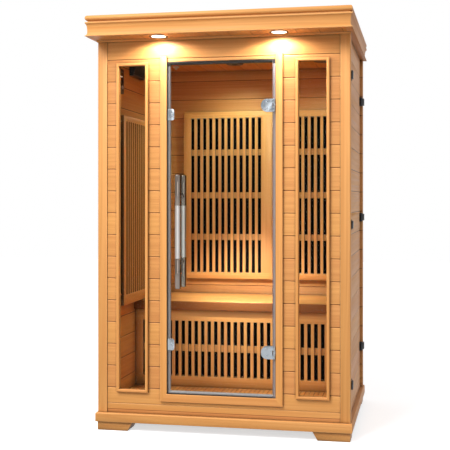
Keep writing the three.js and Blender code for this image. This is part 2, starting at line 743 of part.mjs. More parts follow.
// A plate with a straight edge at x = edge, whose far corners, `width` from it, are rounded.
function roundedPlate(edge, width, height, corner, y0, y1, z) {
  const sign = Math.sign(-edge);
  const half = height / 2;
  const start = edge + sign * (width - corner);
  const points = [[edge, z - half], [edge, z + half]];
  for (const [side, from] of [[1, Math.PI / 2], [-1, 0]]) {
    for (let i = 0; i <= CORNER_STEPS; i += 1) {
      const turn = from - ((Math.PI / 2) * i) / CORNER_STEPS;
      const rise = side * (half - corner) + corner * Math.sin(turn);
      points.push([start + sign * corner * Math.cos(turn), z + rise]);
    }
  }
  return runAlongY(outline(points), y0, y1);
}

function boltThroughGlass(x, z, radius, y0, y1) {
  return runAlongY(disc(x, z, radius, SMALL_SEGMENTS), y0, y1);
}

const CLAMP_EDGE = GLASS_HINGE_EDGE - CLAMP_FROM_EDGE;
const CATCH_EDGE = GLASS_FREE_EDGE + CATCH_FROM_EDGE;
const CLAMP_BOLT_X = GLASS_HINGE_EDGE - CLAMP_BOLT_FROM_EDGE;
const CATCH_BOLT_X = GLASS_FREE_EDGE + CATCH_BOLT_FROM_EDGE;

function clampBolts(height) {
  return [height - CLAMP_BOLT_SPACING / 2, height + CLAMP_BOLT_SPACING / 2];
}

function makeDoorGlass() {
  const pane = slot(GLASS_FREE_EDGE, GLASS_HINGE_EDGE, SILL + DOOR_EDGE_GAP, HEAD - DOOR_EDGE_GAP);
  const hole = (x, z, radius) => pane.holes.push(disc(x, z, radius + GLASS_HOLE_GAP, SMALL_SEGMENTS));
  HINGE_HEIGHTS.flatMap(clampBolts).forEach((z) => hole(CLAMP_BOLT_X, z, CLAMP_BOLT_RADIUS));
  CATCH_HEIGHTS.forEach((z) => hole(CATCH_BOLT_X, z, CLAMP_BOLT_RADIUS));
  HANDLE_FIXINGS.forEach((z) => hole(HANDLE_X, z, HANDLE_POST_RADIUS));
  add('door_glass', runAlongY(pane, GLASS_FRONT, GLASS_BACK), GLASS);
}

function knuckle(z0, z1, bore) {
  const shape = disc(HINGE_AXIS.x, HINGE_AXIS.y, HINGE_KNUCKLE_RADIUS, ROUND_SEGMENTS);
  if (bore > 0) shape.holes.push(disc(HINGE_AXIS.x, HINGE_AXIS.y, bore, SMALL_SEGMENTS));
  return runAlongZ(shape, z0, z1);
}

function makeHinge(name, height) {
  const bottom = height - HINGE_HEIGHT / 2;
  const top = height + HINGE_HEIGHT / 2;
  const middle = [height - HINGE_MIDDLE_KNUCKLE / 2, height + HINGE_MIDDLE_KNUCKLE / 2];
  const ends = [[bottom, middle[0] - HINGE_RUNNING_GAP], [middle[1] + HINGE_RUNNING_GAP, top]];

  const leafEdge = JAMB - HINGE_LEAF;
  const leaf = block(leafEdge, JAMB, HINGE_AXIS.y, BOARD_FACE, ...middle);
  const pin = runAlongZ(disc(HINGE_AXIS.x, HINGE_AXIS.y, HINGE_PIN_RADIUS, SMALL_SEGMENTS), bottom, top);
  add(`hinge_leaf_${name}`, joined(knuckle(...middle, 0), leaf, pin), CHROME);

  const plate = [CLAMP_EDGE, HINGE_CLAMP_WIDTH, HINGE_HEIGHT, HINGE_CLAMP_CORNER];
  const outside = roundedPlate(...plate, GLASS_FRONT - HINGE_CLAMP_THICKNESS, GLASS_FRONT, height);
  const inside = roundedPlate(...plate, GLASS_BACK, GLASS_BACK + HINGE_CLAMP_THICKNESS, height);
  const bore = HINGE_PIN_RADIUS + HINGE_RUNNING_GAP;
  const webReach = HINGE_AXIS.x - (HINGE_KNUCKLE_RADIUS + bore) / 2;
  const webBack = GLASS_FRONT - HINGE_WEB_SET_BACK;
  const knuckles = ends.map(([z0, z1]) => knuckle(z0, z1, bore));
  const webSides = [CLAMP_EDGE - OVERLAP, webReach, webBack - HINGE_WEB, webBack];
  const webs = ends.map(([z0, z1]) => block(...webSides, z0, z1));
  const bolts = clampBolts(height).map((z) => boltThroughGlass(
    CLAMP_BOLT_X, z, CLAMP_BOLT_RADIUS, GLASS_FRONT - OVERLAP, GLASS_BACK + OVERLAP,
  ));
  add(`door_hinge_${name}`, joined(outside, inside, ...knuckles, ...webs, ...bolts), CHROME);
}

function makeCatch(name, height) {
  const plate = roundedPlate(
    CATCH_EDGE, CATCH_WIDTH, CATCH_HEIGHT, CATCH_CORNER, GLASS_FRONT - CATCH_THICKNESS, GLASS_FRONT, height,
  );
  const nutBack = GLASS_BACK + CATCH_THICKNESS;
  const nut = boltThroughGlass(CATCH_BOLT_X, height, CATCH_NUT_RADIUS, GLASS_BACK, nutBack);
  const bolt = boltThroughGlass(CATCH_BOLT_X, height, CLAMP_BOLT_RADIUS, GLASS_FRONT - OVERLAP, nutBack);
  add(`door_catch_${name}`, joined(plate, nut, bolt), CHROME);
}

function handleBar(y) {
  const top = HANDLE_BOTTOM + HANDLE_LENGTH;
  const bar = turned([
    [0, HANDLE_BOTTOM],
    [HANDLE_RADIUS - HANDLE_END_EASE, HANDLE_BOTTOM],
    [HANDLE_RADIUS, HANDLE_BOTTOM + HANDLE_END_EASE],
    [HANDLE_RADIUS, top - HANDLE_END_EASE],
    [HANDLE_RADIUS - HANDLE_END_EASE, top],
    [0, top],
  ], ROUND_SEGMENTS);
  return closed(bar.translate(HANDLE_X, y, 0));
}

function makeHandle() {
  const outer = GLASS_FRONT - HANDLE_STANDOFF;
  const inner = GLASS_BACK + HANDLE_STANDOFF;
  const posts = HANDLE_FIXINGS.flatMap((z) => [
    boltThroughGlass(HANDLE_X, z, HANDLE_POST_RADIUS, outer, inner),
    boltThroughGlass(HANDLE_X, z, HANDLE_FLANGE_RADIUS, GLASS_FRONT - HANDLE_FLANGE, GLASS_FRONT),
    boltThroughGlass(HANDLE_X, z, HANDLE_FLANGE_RADIUS, GLASS_BACK, GLASS_BACK + HANDLE_FLANGE),
  ]);
  add('door_handle', joined(handleBar(outer), handleBar(inner), ...posts), CHROME);
}

function makeDoor() {
  makeDoorGlass();
  ['lower', 'upper'].forEach((name, i) => {
    makeHinge(name, HINGE_HEIGHTS[i]);
    makeCatch(name, CATCH_HEIGHTS[i]);
  });
  makeHandle();
}

// Roof

// The cornice section from its bottom inner corner: flared foot, hollow fascia, bead, round nosing,
// then the rebate for the dust cover.
function corniceSection() {
  const shape = new THREE.Shape();
  const bead = EAVES + BEAD_RISE;
  const nosing = TOTAL_HEIGHT - NOSING_HEIGHT;
  const neck = EAVES + CORNICE_NECK_RISE;
  const ledge = TOTAL_HEIGHT - COVER_DROP - COVER_THICKNESS;
  const inner = -CORNICE_THICKNESS;
  shape.moveTo(inner, EAVES);
  shape.lineTo(0, EAVES);
  shape.lineTo(0, EAVES + CORNICE_LIP);
  shape.quadraticCurveTo(-CORNICE_NECK, EAVES + CORNICE_LIP, -CORNICE_NECK, neck);
  shape.quadraticCurveTo(-CORNICE_NECK, bead - CORNICE_LIP, 0, bead);
  shape.lineTo(0, bead + BEAD_HEIGHT);
  shape.quadraticCurveTo(-NOSING_DEPTH, bead + BEAD_HEIGHT, -NOSING_DEPTH, nosing);
  const halfNosing = NOSING_HEIGHT / 2;
  const quarter = Math.PI / 2;
  shape.absellipse(-NOSING_DEPTH, nosing + halfNosing, NOSING_DEPTH, halfNosing, -quarter, quarter, false, 0);
  shape.lineTo(inner + COVER_REBATE, TOTAL_HEIGHT);
  shape.lineTo(inner + COVER_REBATE, ledge);
  shape.lineTo(inner, ledge);
  const points = shape.getPoints(CORNICE_STEPS);
  const isNew = (point, i) => i === 0 || point.distanceTo(points[i - 1]) > WELD;
  return points.filter(isNew).map(({ x, y }) => [x, y]);
}

function makeRoof() {
  const corners = rectangle(-ROOF_HALF_WIDTH, ROOF_HALF_WIDTH, -ROOF_HALF_DEPTH, ROOF_HALF_DEPTH);
  add('roof_cornice', mitred(corniceSection(), corners, true, lyingFlat), HEMLOCK);

  const deckHalf = ROOF_HALF_WIDTH - CORNICE_THICKNESS;
  const deckDeep = ROOF_HALF_DEPTH - CORNICE_THICKNESS;
  const deck = block(-deckHalf, deckHalf, -deckDeep, deckDeep, EAVES, EAVES + DECK_THICKNESS);
  const ceilingHalf = SIDE_INSIDE - CEILING_GAP;
  const boards = boardedSlab(-ceilingHalf, ceilingHalf, CEILING, EAVES + OVERLAP, CEILING_BOARD);
  const ceiling = runAlongY(boards, FRONT_INSIDE + CEILING_GAP, BACK_INSIDE - CEILING_GAP);
  const wells = [-1, 1].map((side) => {
    const radius = DOWNLIGHT_BODY_RADIUS + DOWNLIGHT_GAP;
    const circle = disc(side * DOWNLIGHT_OFFSET, FRONT - DOWNLIGHT_FROM_FRONT, radius, FINE_SEGMENTS);
    return runAlongZ(circle, EAVES - OVERLAP, EAVES + DOWNLIGHT_BODY + DOWNLIGHT_GAP);
  });
  add('roof_panel', cut(joined(deck, ceiling), ...wells), HEMLOCK);

  const coverHalf = deckHalf + COVER_REBATE - COVER_GAP;
  const coverDeep = deckDeep + COVER_REBATE - COVER_GAP;
  const coverTop = TOTAL_HEIGHT - COVER_DROP;
  const cover = block(-coverHalf, coverHalf, -coverDeep, coverDeep, coverTop - COVER_THICKNESS, coverTop);
  add('roof_cover', cover, HEMLOCK);
}

const CEILING_LIGHTS = [
  { name: 'ceiling_light_middle', x: MIDDLE_LIGHT_FROM_MIDDLE, fromFront: MIDDLE_LIGHT_FROM_FRONT },
  { name: 'ceiling_light_right', x: SIDE_INSIDE - RIGHT_LIGHT_FROM_WALL, fromFront: RIGHT_LIGHT_FROM_FRONT },
];

function makeLights() {
  const lensDrop = DOWNLIGHT_PROUD / 2;
  const downlight = turned([
    [0, EAVES - DOWNLIGHT_PROUD - lensDrop],
    [DOWNLIGHT_LENS_RADIUS / 2, EAVES - DOWNLIGHT_PROUD - lensDrop / 2],
    [DOWNLIGHT_LENS_RADIUS, EAVES - lensDrop],
    [DOWNLIGHT_LENS_RADIUS + lensDrop, EAVES - DOWNLIGHT_PROUD],
    [DOWNLIGHT_BEZEL_RADIUS - lensDrop, EAVES - DOWNLIGHT_PROUD],
    [DOWNLIGHT_BEZEL_RADIUS, EAVES - lensDrop],
    [DOWNLIGHT_BEZEL_RADIUS, EAVES],
    [DOWNLIGHT_BODY_RADIUS, EAVES],
    [DOWNLIGHT_BODY_RADIUS, EAVES + DOWNLIGHT_BODY],
    [0, EAVES + DOWNLIGHT_BODY],
  ], FINE_SEGMENTS);
  const placed = closed(downlight.translate(DOWNLIGHT_OFFSET, FRONT - DOWNLIGHT_FROM_FRONT, 0));
  add('downlight_right', placed, LENS);
  add('downlight_left', mirrored(placed), LENS);

  for (const { name, x, fromFront } of CEILING_LIGHTS) {
    const light = turned([
      [0, CEILING - CEILING_LIGHT_PROUD],
      [CEILING_LIGHT_LENS_RADIUS, CEILING - CEILING_LIGHT_PROUD / 2],
      [CEILING_LIGHT_RADIUS - CEILING_LIGHT_PROUD / 2, CEILING - CEILING_LIGHT_PROUD],
      [CEILING_LIGHT_RADIUS, CEILING - CEILING_LIGHT_PROUD / 2],
      [CEILING_LIGHT_RADIUS, CEILING],
      [0, CEILING],
    ], FINE_SEGMENTS);
    add(name, closed(light.translate(x, FRONT_INSIDE + fromFront, 0)), BLACK_PLASTIC);
  }
}

// Heater grilles: slats cut from a panel, with rear rails that stand it off what carries it

// The slots that fit between two edges, from a stile at the first edge.
function slotsBetween(from, to) {
  const first = from + GRILLE_STILE;
  const spare = to - GRILLE_FAR_STILE - SLOT_WIDTH - first;
  return Array.from({ length: Math.floor(spare / SLOT_PITCH) + 1 }, (_, i) => first + i * SLOT_PITCH);
}

// Vertical slats between two rails, with battens behind them that part the slots into rows. `lowerRows`
// are slot heights from the bottom, and the top row takes what is left. `run` carries the outlines
// through the panel's thickness from `face`.
function slattedPanel(run, face, { left, right, bottom, top, rails, lowerRows, batten }) {
  const back = face + SLAT_THICKNESS;
  const openings = slotsBetween(left, right).map((start) => {
    const opening = slot(start, start + SLOT_WIDTH, bottom + rails[0], top - rails[1]);
    return run(opening, face - OVERLAP, back + OVERLAP);
  });
  const panel = run(slot(left, right, bottom, top), face, back);
  const battens = [];
  let base = bottom + rails[0];
  for (const row of lowerRows) {
    base += row;
    battens.push(run(slot(left, right, base, base + batten), back - BATTEN_LAP, back + BATTEN_THICKNESS));
    base += batten;
  }
  return joined(cut(panel, mergeGeometries(openings)), ...battens);
}

function makeBackGrilles() {
  const face = BACK_INSIDE - GRILLE_DEPTH;
  const slatBack = face + SLAT_THICKNESS;
  const bottom = BENCH_TOP + BACK_GRILLE_ABOVE_BENCH;
  const top = CEILING - BACK_GRILLE_BELOW_CEILING;
  const outerLeft = -SIDE_INSIDE + BACK_GRILLE_FROM_LEFT_WALL;
  const outerRight = SIDE_INSIDE - BACK_GRILLE_FROM_RIGHT_WALL;
  const grilles = [
    { name: 'back_grille_left', left: outerLeft, right: BACK_GRILLE_JOINT },
    { name: 'back_grille_right', left: BACK_GRILLE_JOINT + BACK_GRILLE_JOINT_GAP, right: outerRight },
  ];
  for (const { name, left, right } of grilles) {
    const slats = slattedPanel(runAlongY, face, {
      left, right, bottom, top,
      rails: [BACK_GRILLE_RAIL, BACK_GRILLE_RAIL],
      lowerRows: BACK_GRILLE_LOWER_ROWS, batten: BACK_GRILLE_BATTEN,
    });
    const rail = (z0) => block(left, right, slatBack - OVERLAP, BACK_INSIDE, z0, z0 + BACK_GRILLE_RAIL);
    add(name, joined(slats, rail(bottom), rail(top - BACK_GRILLE_RAIL)), HEMLOCK);
  }
  const inset = BACK_GRILLE_RAIL + HEATER_GAP;
  const plate = block(
    outerLeft + HEATER_GAP, outerRight - HEATER_GAP,
    BACK_INSIDE - HEATER_THICKNESS, BACK_INSIDE,
    bottom + inset, top - inset,
  );
  add('back_heater', plate, HEATER_BLACK);
}

function makeSideGrilles() {
  const face = SIDE_INSIDE - GRILLE_DEPTH;
  const slatBack = face + SLAT_THICKNESS;
  const left = FRONT_INSIDE + SIDE_GRILLE_FROM_FRONT;
  const right = BACK_INSIDE - GRILLE_DEPTH - SIDE_GRILLE_FROM_BACK_GRILLE;
  const bottom = BENCH_TOP + SIDE_GRILLE_ABOVE_BENCH;
  const top = CEILING - SIDE_GRILLE_BELOW_CEILING;
  const lowRailTop = bottom + SIDE_GRILLE_BOTTOM_RAIL;
  const highRailBottom = top - SIDE_GRILLE_TOP_RAIL;
  const slats = slattedPanel(runAlongX, face, {
    left, right, bottom, top,
    rails: [SIDE_GRILLE_BOTTOM_RAIL, SIDE_GRILLE_TOP_RAIL], lowerRows: [], batten: 0,
  });
  const rail = (z0, z1) => block(slatBack - OVERLAP, SIDE_INSIDE, left, right, z0, z1);
  const grille = joined(slats, rail(bottom, lowRailTop), rail(highRailBottom, top));
  add('side_grille_right', grille, HEMLOCK);
  add('side_grille_left', mirrored(grille), HEMLOCK);
  const plate = block(
    SIDE_INSIDE - HEATER_THICKNESS, SIDE_INSIDE,
    left + HEATER_GAP, right - HEATER_GAP,
    lowRailTop + HEATER_GAP, highRailBottom - HEATER_GAP,
  );
  add('side_heater_right', plate, HEATER_BLACK);
  add('side_heater_left', mirrored(plate), HEATER_BLACK);
}

function makeCalfGrille() {
  const half = SIDE_INSIDE - CALF_GRILLE_GAP;
  const slatBack = CALF_GRILLE_FACE + SLAT_THICKNESS;
  const railBack = CALF_GRILLE_FACE + GRILLE_DEPTH;
  const lowRailTop = FLOOR_TOP + CALF_GRILLE_BOTTOM_RAIL;
  const highRailBottom = BENCH_UNDERSIDE - CALF_GRILLE_TOP_RAIL;
  const slats = slattedPanel(runAlongY, CALF_GRILLE_FACE, {
    left: -half, right: half, bottom: FLOOR_TOP, top: BENCH_UNDERSIDE,
    rails: [CALF_GRILLE_BOTTOM_RAIL, CALF_GRILLE_TOP_RAIL],
    lowerRows: [CALF_GRILLE_LOWER_ROW], batten: CALF_GRILLE_BATTEN,
  });
  const rail = (z0, z1) => block(-half, half, slatBack - OVERLAP, railBack, z0, z1);
  const grille = joined(slats, rail(FLOOR_TOP, lowRailTop), rail(highRailBottom, BENCH_UNDERSIDE));
  add('calf_grille', grille, HEMLOCK);
  const plateHalf = half - CALF_HEATER_INSET;
  const plate = block(
    -plateHalf, plateHalf,
    railBack, railBack + HEATER_THICKNESS,
    lowRailTop - CALF_HEATER_LAP, highRailBottom + CALF_HEATER_LAP,
  );
  add('calf_heater', plate, HEATER_BLACK);
}

// Bench

function makeBench() {
  const railBottom = BENCH_TOP - BENCH_RAIL_HEIGHT;
  const railBack = BENCH_FRONT + BENCH_THICKNESS - OVERLAP;
  const seams = [];
  for (let y = BENCH_FRONT + BENCH_BOARD; y < BACK_INSIDE - BENCH_BOARD / 2; y += BENCH_BOARD) seams.push(y);
  const notched = seams.flatMap((y) => notch(y, BENCH_TOP, -1).map(([height, along]) => [along, height]));
  const nose = Array.from({ length: CURVE_STEPS + 1 }, (_, i) => {
    const turn = Math.PI - (Math.PI / 2) * (i / CURVE_STEPS);
    const centre = [BENCH_FRONT + BENCH_EASE, BENCH_TOP - BENCH_EASE];
    return [centre[0] + BENCH_EASE * Math.cos(turn), centre[1] + BENCH_EASE * Math.sin(turn)];
  });
  const section = outline([
    [BENCH_FRONT, railBottom],
    ...nose,
    ...notched,
    [BACK_INSIDE, BENCH_TOP],
    [BACK_INSIDE, BENCH_UNDERSIDE],
    [railBack, BENCH_UNDERSIDE],
    [railBack, railBottom],
  ]);
  add('bench_seat', runAlongX(section, -SIDE_INSIDE, SIDE_INSIDE), HEMLOCK);
}

// Control panel, its buttons, and the speaker

function roundedRectangle(a0, a1, b0, b1, radius) {
  const shape = new THREE.Shape();
  shape.moveTo(a0 + radius, b0);
  shape.absarc(a1 - radius, b0 + radius, radius, -Math.PI / 2, 0, false);
  shape.absarc(a1 - radius, b1 - radius, radius, 0, Math.PI / 2, false);
  shape.absarc(a0 + radius, b1 - radius, radius, Math.PI / 2, Math.PI, false);
  shape.absarc(a0 + radius, b0 + radius, radius, Math.PI, 1.5 * Math.PI, false);
  return shape;
}

function makeControls() {
  const wall = -SIDE_INSIDE;
  const back = wall + CONTROL_BACK;
  const face = wall + CONTROL_THICKNESS;
  const middle = CONTROL_FRONT + CONTROL_LENGTH / 2;
  const keyZ = CONTROL_BOTTOM + CONTROL_KEY_HEIGHT;
  const keys = KEY_NAMES.map((name, i) => ({ name, y: middle + (i - 1) * CONTROL_KEY_PITCH }));
  const sides = [CONTROL_FRONT, CONTROL_FRONT + CONTROL_LENGTH, CONTROL_BOTTOM, CONTROL_TOP];
  const front = roundedRectangle(...sides, CONTROL_CORNER);
  keys.forEach(({ y }) => front.holes.push(disc(y, keyZ, KEY_RADIUS + KEY_GAP, ROUND_SEGMENTS)));
  const housing = joined(
    runAlongX(front, back - OVERLAP, face),
    runAlongX(roundedRectangle(...sides, CONTROL_CORNER), wall, back),
  );
  const displayBottom = CONTROL_BOTTOM + CONTROL_DISPLAY_RISE;
  const display = block(
    face - CONTROL_DISPLAY_DEPTH, face + OVERLAP,
    middle - CONTROL_DISPLAY_WIDTH / 2, middle + CONTROL_DISPLAY_WIDTH / 2,
    displayBottom, displayBottom + CONTROL_DISPLAY_HEIGHT,
  );
  add('control_panel', cut(housing, display), BLACK_PLASTIC);
  for (const { name, y } of keys) {
    const root = back + KEY_TRAVEL_ROOM;
    const tip = face + KEY_PROUD;
    const key = turned([
      [0, root], [KEY_RADIUS, root], [KEY_RADIUS, tip - KEY_EASE], [KEY_RADIUS - KEY_EASE, tip], [0, tip],
    ], ROUND_SEGMENTS);
    add(name, closed(key.rotateY(Math.PI / 2).translate(0, y, keyZ)), KEY_GREY);
  }
}

function makeSpeaker() {
  const wall = -SIDE_INSIDE;
  const top = CEILING - SPEAKER_BELOW_CEILING;
  const bottom = top - SPEAKER_HEIGHT;
  const section = outline([
    [wall, bottom],
    [wall + SPEAKER_BOTTOM_DEPTH, bottom],
    [wall + SPEAKER_TOP_DEPTH, top - SPEAKER_LIP],
    [wall + SPEAKER_TOP_DEPTH, top],
    [wall, top],
  ]);
  add('speaker', runAlongY(section, SPEAKER_FRONT, SPEAKER_FRONT + SPEAKER_LENGTH), BLACK_PLASTIC);
}

makeFeet();
makePlinth();
makeFloor();
makePosts();
makeFrontWall();
makeSideWalls();
makeBackWall();
makeClasps();
makeCasing();
makeGasket();
makeWindows();
makeDoor();
makeRoof();
makeLights();
makeBackGrilles();
makeSideGrilles();
makeCalfGrille();
makeBench();
makeControls();
makeSpeaker();

export default sauna;
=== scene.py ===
"""Looks of a two-person infrared sauna cabin: timber, glass, hardware, lights and a plain studio.

Everything is in metres, +Z up, with the door facing -Y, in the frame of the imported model.
"""

import json
import math

import bmesh
import bpy
from bpy.props import FloatProperty, FloatVectorProperty, IntProperty, PointerProperty
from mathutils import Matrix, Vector

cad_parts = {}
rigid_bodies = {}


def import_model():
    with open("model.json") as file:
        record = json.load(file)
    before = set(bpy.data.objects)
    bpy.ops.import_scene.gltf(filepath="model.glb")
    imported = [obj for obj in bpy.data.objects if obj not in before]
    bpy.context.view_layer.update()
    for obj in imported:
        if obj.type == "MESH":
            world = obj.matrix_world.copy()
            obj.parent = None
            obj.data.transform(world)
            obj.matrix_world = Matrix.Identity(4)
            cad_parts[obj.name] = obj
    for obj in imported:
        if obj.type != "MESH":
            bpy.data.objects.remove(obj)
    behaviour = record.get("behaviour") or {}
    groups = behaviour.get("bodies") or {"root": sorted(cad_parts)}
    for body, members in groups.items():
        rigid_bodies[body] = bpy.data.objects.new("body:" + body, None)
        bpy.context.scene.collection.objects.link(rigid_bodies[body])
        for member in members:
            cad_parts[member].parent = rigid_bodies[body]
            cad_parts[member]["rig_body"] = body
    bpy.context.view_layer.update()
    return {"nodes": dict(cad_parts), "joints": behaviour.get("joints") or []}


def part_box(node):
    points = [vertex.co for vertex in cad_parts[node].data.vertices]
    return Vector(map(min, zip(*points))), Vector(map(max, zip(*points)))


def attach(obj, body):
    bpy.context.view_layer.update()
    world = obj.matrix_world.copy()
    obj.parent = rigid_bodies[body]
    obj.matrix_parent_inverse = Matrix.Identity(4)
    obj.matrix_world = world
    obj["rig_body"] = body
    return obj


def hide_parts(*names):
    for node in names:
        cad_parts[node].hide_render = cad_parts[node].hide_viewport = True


bl_info = {
    "name": "Sauna cabin looks",
    "version": (1, 0, 0),
    "blender": (4, 5, 0),
    "location": "View3D > Sidebar > Sauna",
    "description": "Dresses the sauna cabin with timber, glass, hardware, lights and a studio",
    "category": "Object",
}

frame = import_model()
MM = 0.001


def srgb(red, green, blue):
    """A colour given as 8-bit screen values, as the linear values that shaders take."""
    def linear(value):
        share = value / 255
        return share / 12.92 if share <= 0.04045 else ((share + 0.055) / 1.055) ** 2.4
    return linear(red), linear(green), linear(blue)


# Settings that a user would change


class SaunaTimberSettings(bpy.types.PropertyGroup):
    """Colours and board sizes of the timber."""

    dark: FloatVectorProperty(
        name="Dark grain", description="Colour of the late wood", subtype="COLOR",
        default=srgb(214, 142, 73),
    )
    light: FloatVectorProperty(
        name="Light grain", description="Colour of the early wood", subtype="COLOR",
        default=srgb(238, 172, 99),
    )
    pale_dark: FloatVectorProperty(
        name="Dark grain of trims", description="Late wood of casing and trims", subtype="COLOR",
        default=srgb(224, 149, 76),
    )
    pale_light: FloatVectorProperty(
        name="Light grain of trims", description="Early wood of casing and trims", subtype="COLOR",
        default=srgb(244, 175, 99),
    )
    # Rubbed edge colour: lightens the board edges, partly as rubbed timber and partly as painted highlight
    edge: FloatVectorProperty(
        name="Rubbed edge", description="Colour of the worn board edges", subtype="COLOR",
        default=srgb(255, 219, 160),
    )
    wall_board: FloatProperty(
        name="Wall board", description="Height of one wall board", default=0.1013, unit="LENGTH",
    )
    wall_seam: FloatProperty(
        name="Wall seam", description="Height of the top seam", default=1.719, unit="LENGTH",
    )
    floor_board: FloatProperty(
        name="Floor board", description="Width of one floor board", default=0.045, unit="LENGTH",
    )
    bench_board: FloatProperty(
        name="Bench board", description="Width of one bench board", default=0.088, unit="LENGTH",
    )
    ceiling_board: FloatProperty(
        name="Ceiling board", description="Width of one ceiling board", default=0.101, unit="LENGTH",
    )
    slat_pitch: FloatProperty(
        name="Slat pitch", description="Distance between grille slats", default=0.0335, unit="LENGTH",
    )
    seam: FloatProperty(
        name="Seam", description="Half the width of the dark line between boards", default=0.0017,
        unit="LENGTH",
    )
    ease: FloatProperty(
        name="Eased edge", description="Radius of the sanded board edges", default=0.0012, unit="LENGTH",
    )


class SaunaHardwareSettings(bpy.types.PropertyGroup):
    """Sizes and colours of the glass, metal and plastic."""

    glass_edge: FloatVectorProperty(
        name="Glass edge", description="Colour seen through the glass edges", subtype="COLOR",
        default=srgb(150, 144, 146),
    )
    chrome: FloatVectorProperty(
        name="Chrome", description="Polished metal", subtype="COLOR", default=srgb(140, 146, 151),
    )
    # Polished ends of the handle: their dark brownish colour is a painted reflection of the surroundings
    chrome_with_painted_reflection: FloatVectorProperty(
        name="Dark chrome", description="Polished ends of the handle", subtype="COLOR",
        default=srgb(118, 108, 100),
    )
    satin: FloatVectorProperty(
        name="Satin steel", description="Brushed middle of the handle", subtype="COLOR",
        default=srgb(172, 168, 164),
    )
    black: FloatVectorProperty(
        name="Black", description="Painted metal and plastic", subtype="COLOR", default=srgb(22, 22, 23),
    )
    gasket: FloatVectorProperty(
        name="Gasket", description="Soft seal round the door", subtype="COLOR",
        default=srgb(172, 163, 164),
    )
    round_steps: IntProperty(
        name="Round steps", description="Sides of turned pieces", default=48, min=12,
    )


class SaunaLightSettings(bpy.types.PropertyGroup):
    """Strength and colour of the cabin's own lights."""

    lens: FloatProperty(name="Lens glow", description="Emission of the lit lenses", default=6.0)
    down_power: FloatProperty(
        name="Downlight power", description="Power of each soffit light", default=6.5, subtype="POWER",
    )
    ceiling_power: FloatProperty(
        name="Ceiling power", description="Power of each ceiling light", default=17.0, subtype="POWER",
    )
    bench_power: FloatProperty(
        name="Bench power", description="Power of the light thrown on the bench", default=38.0,
        subtype="POWER",
    )
    down_colour: FloatVectorProperty(
        name="Downlight colour", description="Colour of the soffit lights", subtype="COLOR",
        default=(1.0, 1.0, 1.0),
    )
    ceiling_colour: FloatVectorProperty(
        name="Ceiling colour", description="Colour of the ceiling lights", subtype="COLOR",
        default=(0.8, 1.0, 0.86),
    )


class SaunaStageSettings(bpy.types.PropertyGroup):
    """Camera and studio light."""

    camera_place: FloatVectorProperty(
        name="Camera", description="Place of the camera", subtype="TRANSLATION",
        default=(0.898, -4.637, 1.068),
    )
    camera_turn: FloatProperty(
        name="Camera turn", description="Turn of the camera about +Z", subtype="ANGLE",
        default=math.radians(11.7),
    )
    lens: FloatProperty(name="Lens", description="Focal length in millimetres", default=76.4)
    lens_shift: FloatProperty(name="Lens shift", description="Vertical shift of the lens", default=-0.055)
    ambient: FloatProperty(name="Ambient", description="Strength of the sky light", default=0.47)
    key_power: FloatProperty(
        name="Key power", description="Power of the key light", default=272.0, subtype="POWER",
    )
    fill_power: FloatProperty(
        name="Fill power", description="Power of the fill light", default=12.0, subtype="POWER",
    )
    front_power: FloatProperty(
        name="Front power", description="Power of the light beside the camera", default=31.0,
        subtype="POWER",
    )


# Sizes and colours of what the looks add, in metres. Profiles are (radius, height) in millimetres

FINE_EASE = 0.4 * MM
CRISP_EASE = 0.3 * MM
SHARP_EASE = 0.2 * MM
MERGE_GAP = 0.01 * MM
FLAT_ANGLE = 0.5

# Timber: how far its figure is stretched along, across and through the grain
FIGURE_STRETCH = (0.3, 9, 9)
STREAK_STRETCH = (0.9, 150, 150)
PORE_STRETCH = (9, 700, 700)
RING_COUNT = 12.0
BOARD_SHIFT = 5.0
BOARD_HUES = (0.496, 0.503)
BOARD_VALUES = (0.95, 1.04)
# Reach of the edge test that lightens edges, partly rubbed timber and partly painted highlight
EDGE_WEAR_AND_HIGHLIGHT_RADIUS = 3 * MM
# Painted shade in hollows: reach of each occlusion test and how much it darkens the timber colour
PAINTED_SHADE_HOLLOWS = {14 * MM: 0.7, 110 * MM: 0.65}
SEAM_COLOUR = srgb(142, 80, 32)
# Painted highlight: how much lighter the lower board's top edge is just below each seam
SEAM_PAINTED_HIGHLIGHT = 1.12
# Share of the painted shade in hollows that the cornice keeps
CORNICE_PAINTED_SHADE = 0.25
# Painted shade on the slot sides of the side grilles
SLOT_SHADE = 0.35

CASING_SILL = 37 * MM
TRIM_RAIL = 20 * MM
GASKET_HEAD = 20 * MM
# Painted shade on the top of the seal under the header
GASKET_HEAD_PAINTED_SHADE = srgb(38, 30, 27)
GLASS_TINT = (0.97, 0.985, 0.975, 1.0)
# Painted shade on the top edge of the glass under the header
GLASS_TOP_PAINTED_SHADE = srgb(46, 40, 38)

BEAD_RADIUS = 9 * MM
BEAD_STEPS = 8
SENSOR_X = -375 * MM
SENSOR_Y = 238 * MM
SENSOR_EASE = 0.6 * MM
SENSOR_PROFILE = ((0, 0), (17, 0), (17, -5), (14, -8), (8, -9), (7, -15), (5, -18), (0, -18.5))
SENSOR_COLOUR = srgb(226, 222, 214)

SLAT_BACK = 12.2 * MM
FIRST_SLOT = 49.25 * MM
BACK_RAILS = (33 * MM, 33 * MM)
CALF_RAILS = (52 * MM, 80 * MM)
SIDE_RAILS = (49 * MM, 25 * MM)
HEATER_WEAVE = 1500.0
HEATER_COLOURS = (srgb(6, 4, 3), srgb(15, 10, 8))

PLATE_EASE = 0.5 * MM
CLAMP_THICKNESS = 5 * MM
CLAMP_CAP_FROM_EDGE = 26 * MM
CLAMP_CAP_RISE = 14 * MM
CATCH_CAP_FROM_EDGE = 20 * MM
CAP_PROFILE = ((0, -1.0), (5.5, -1.0), (5.5, 1.2), (4.4, 2.0), (2.2, 2.2), (1.8, 1.4), (0, 1.4))

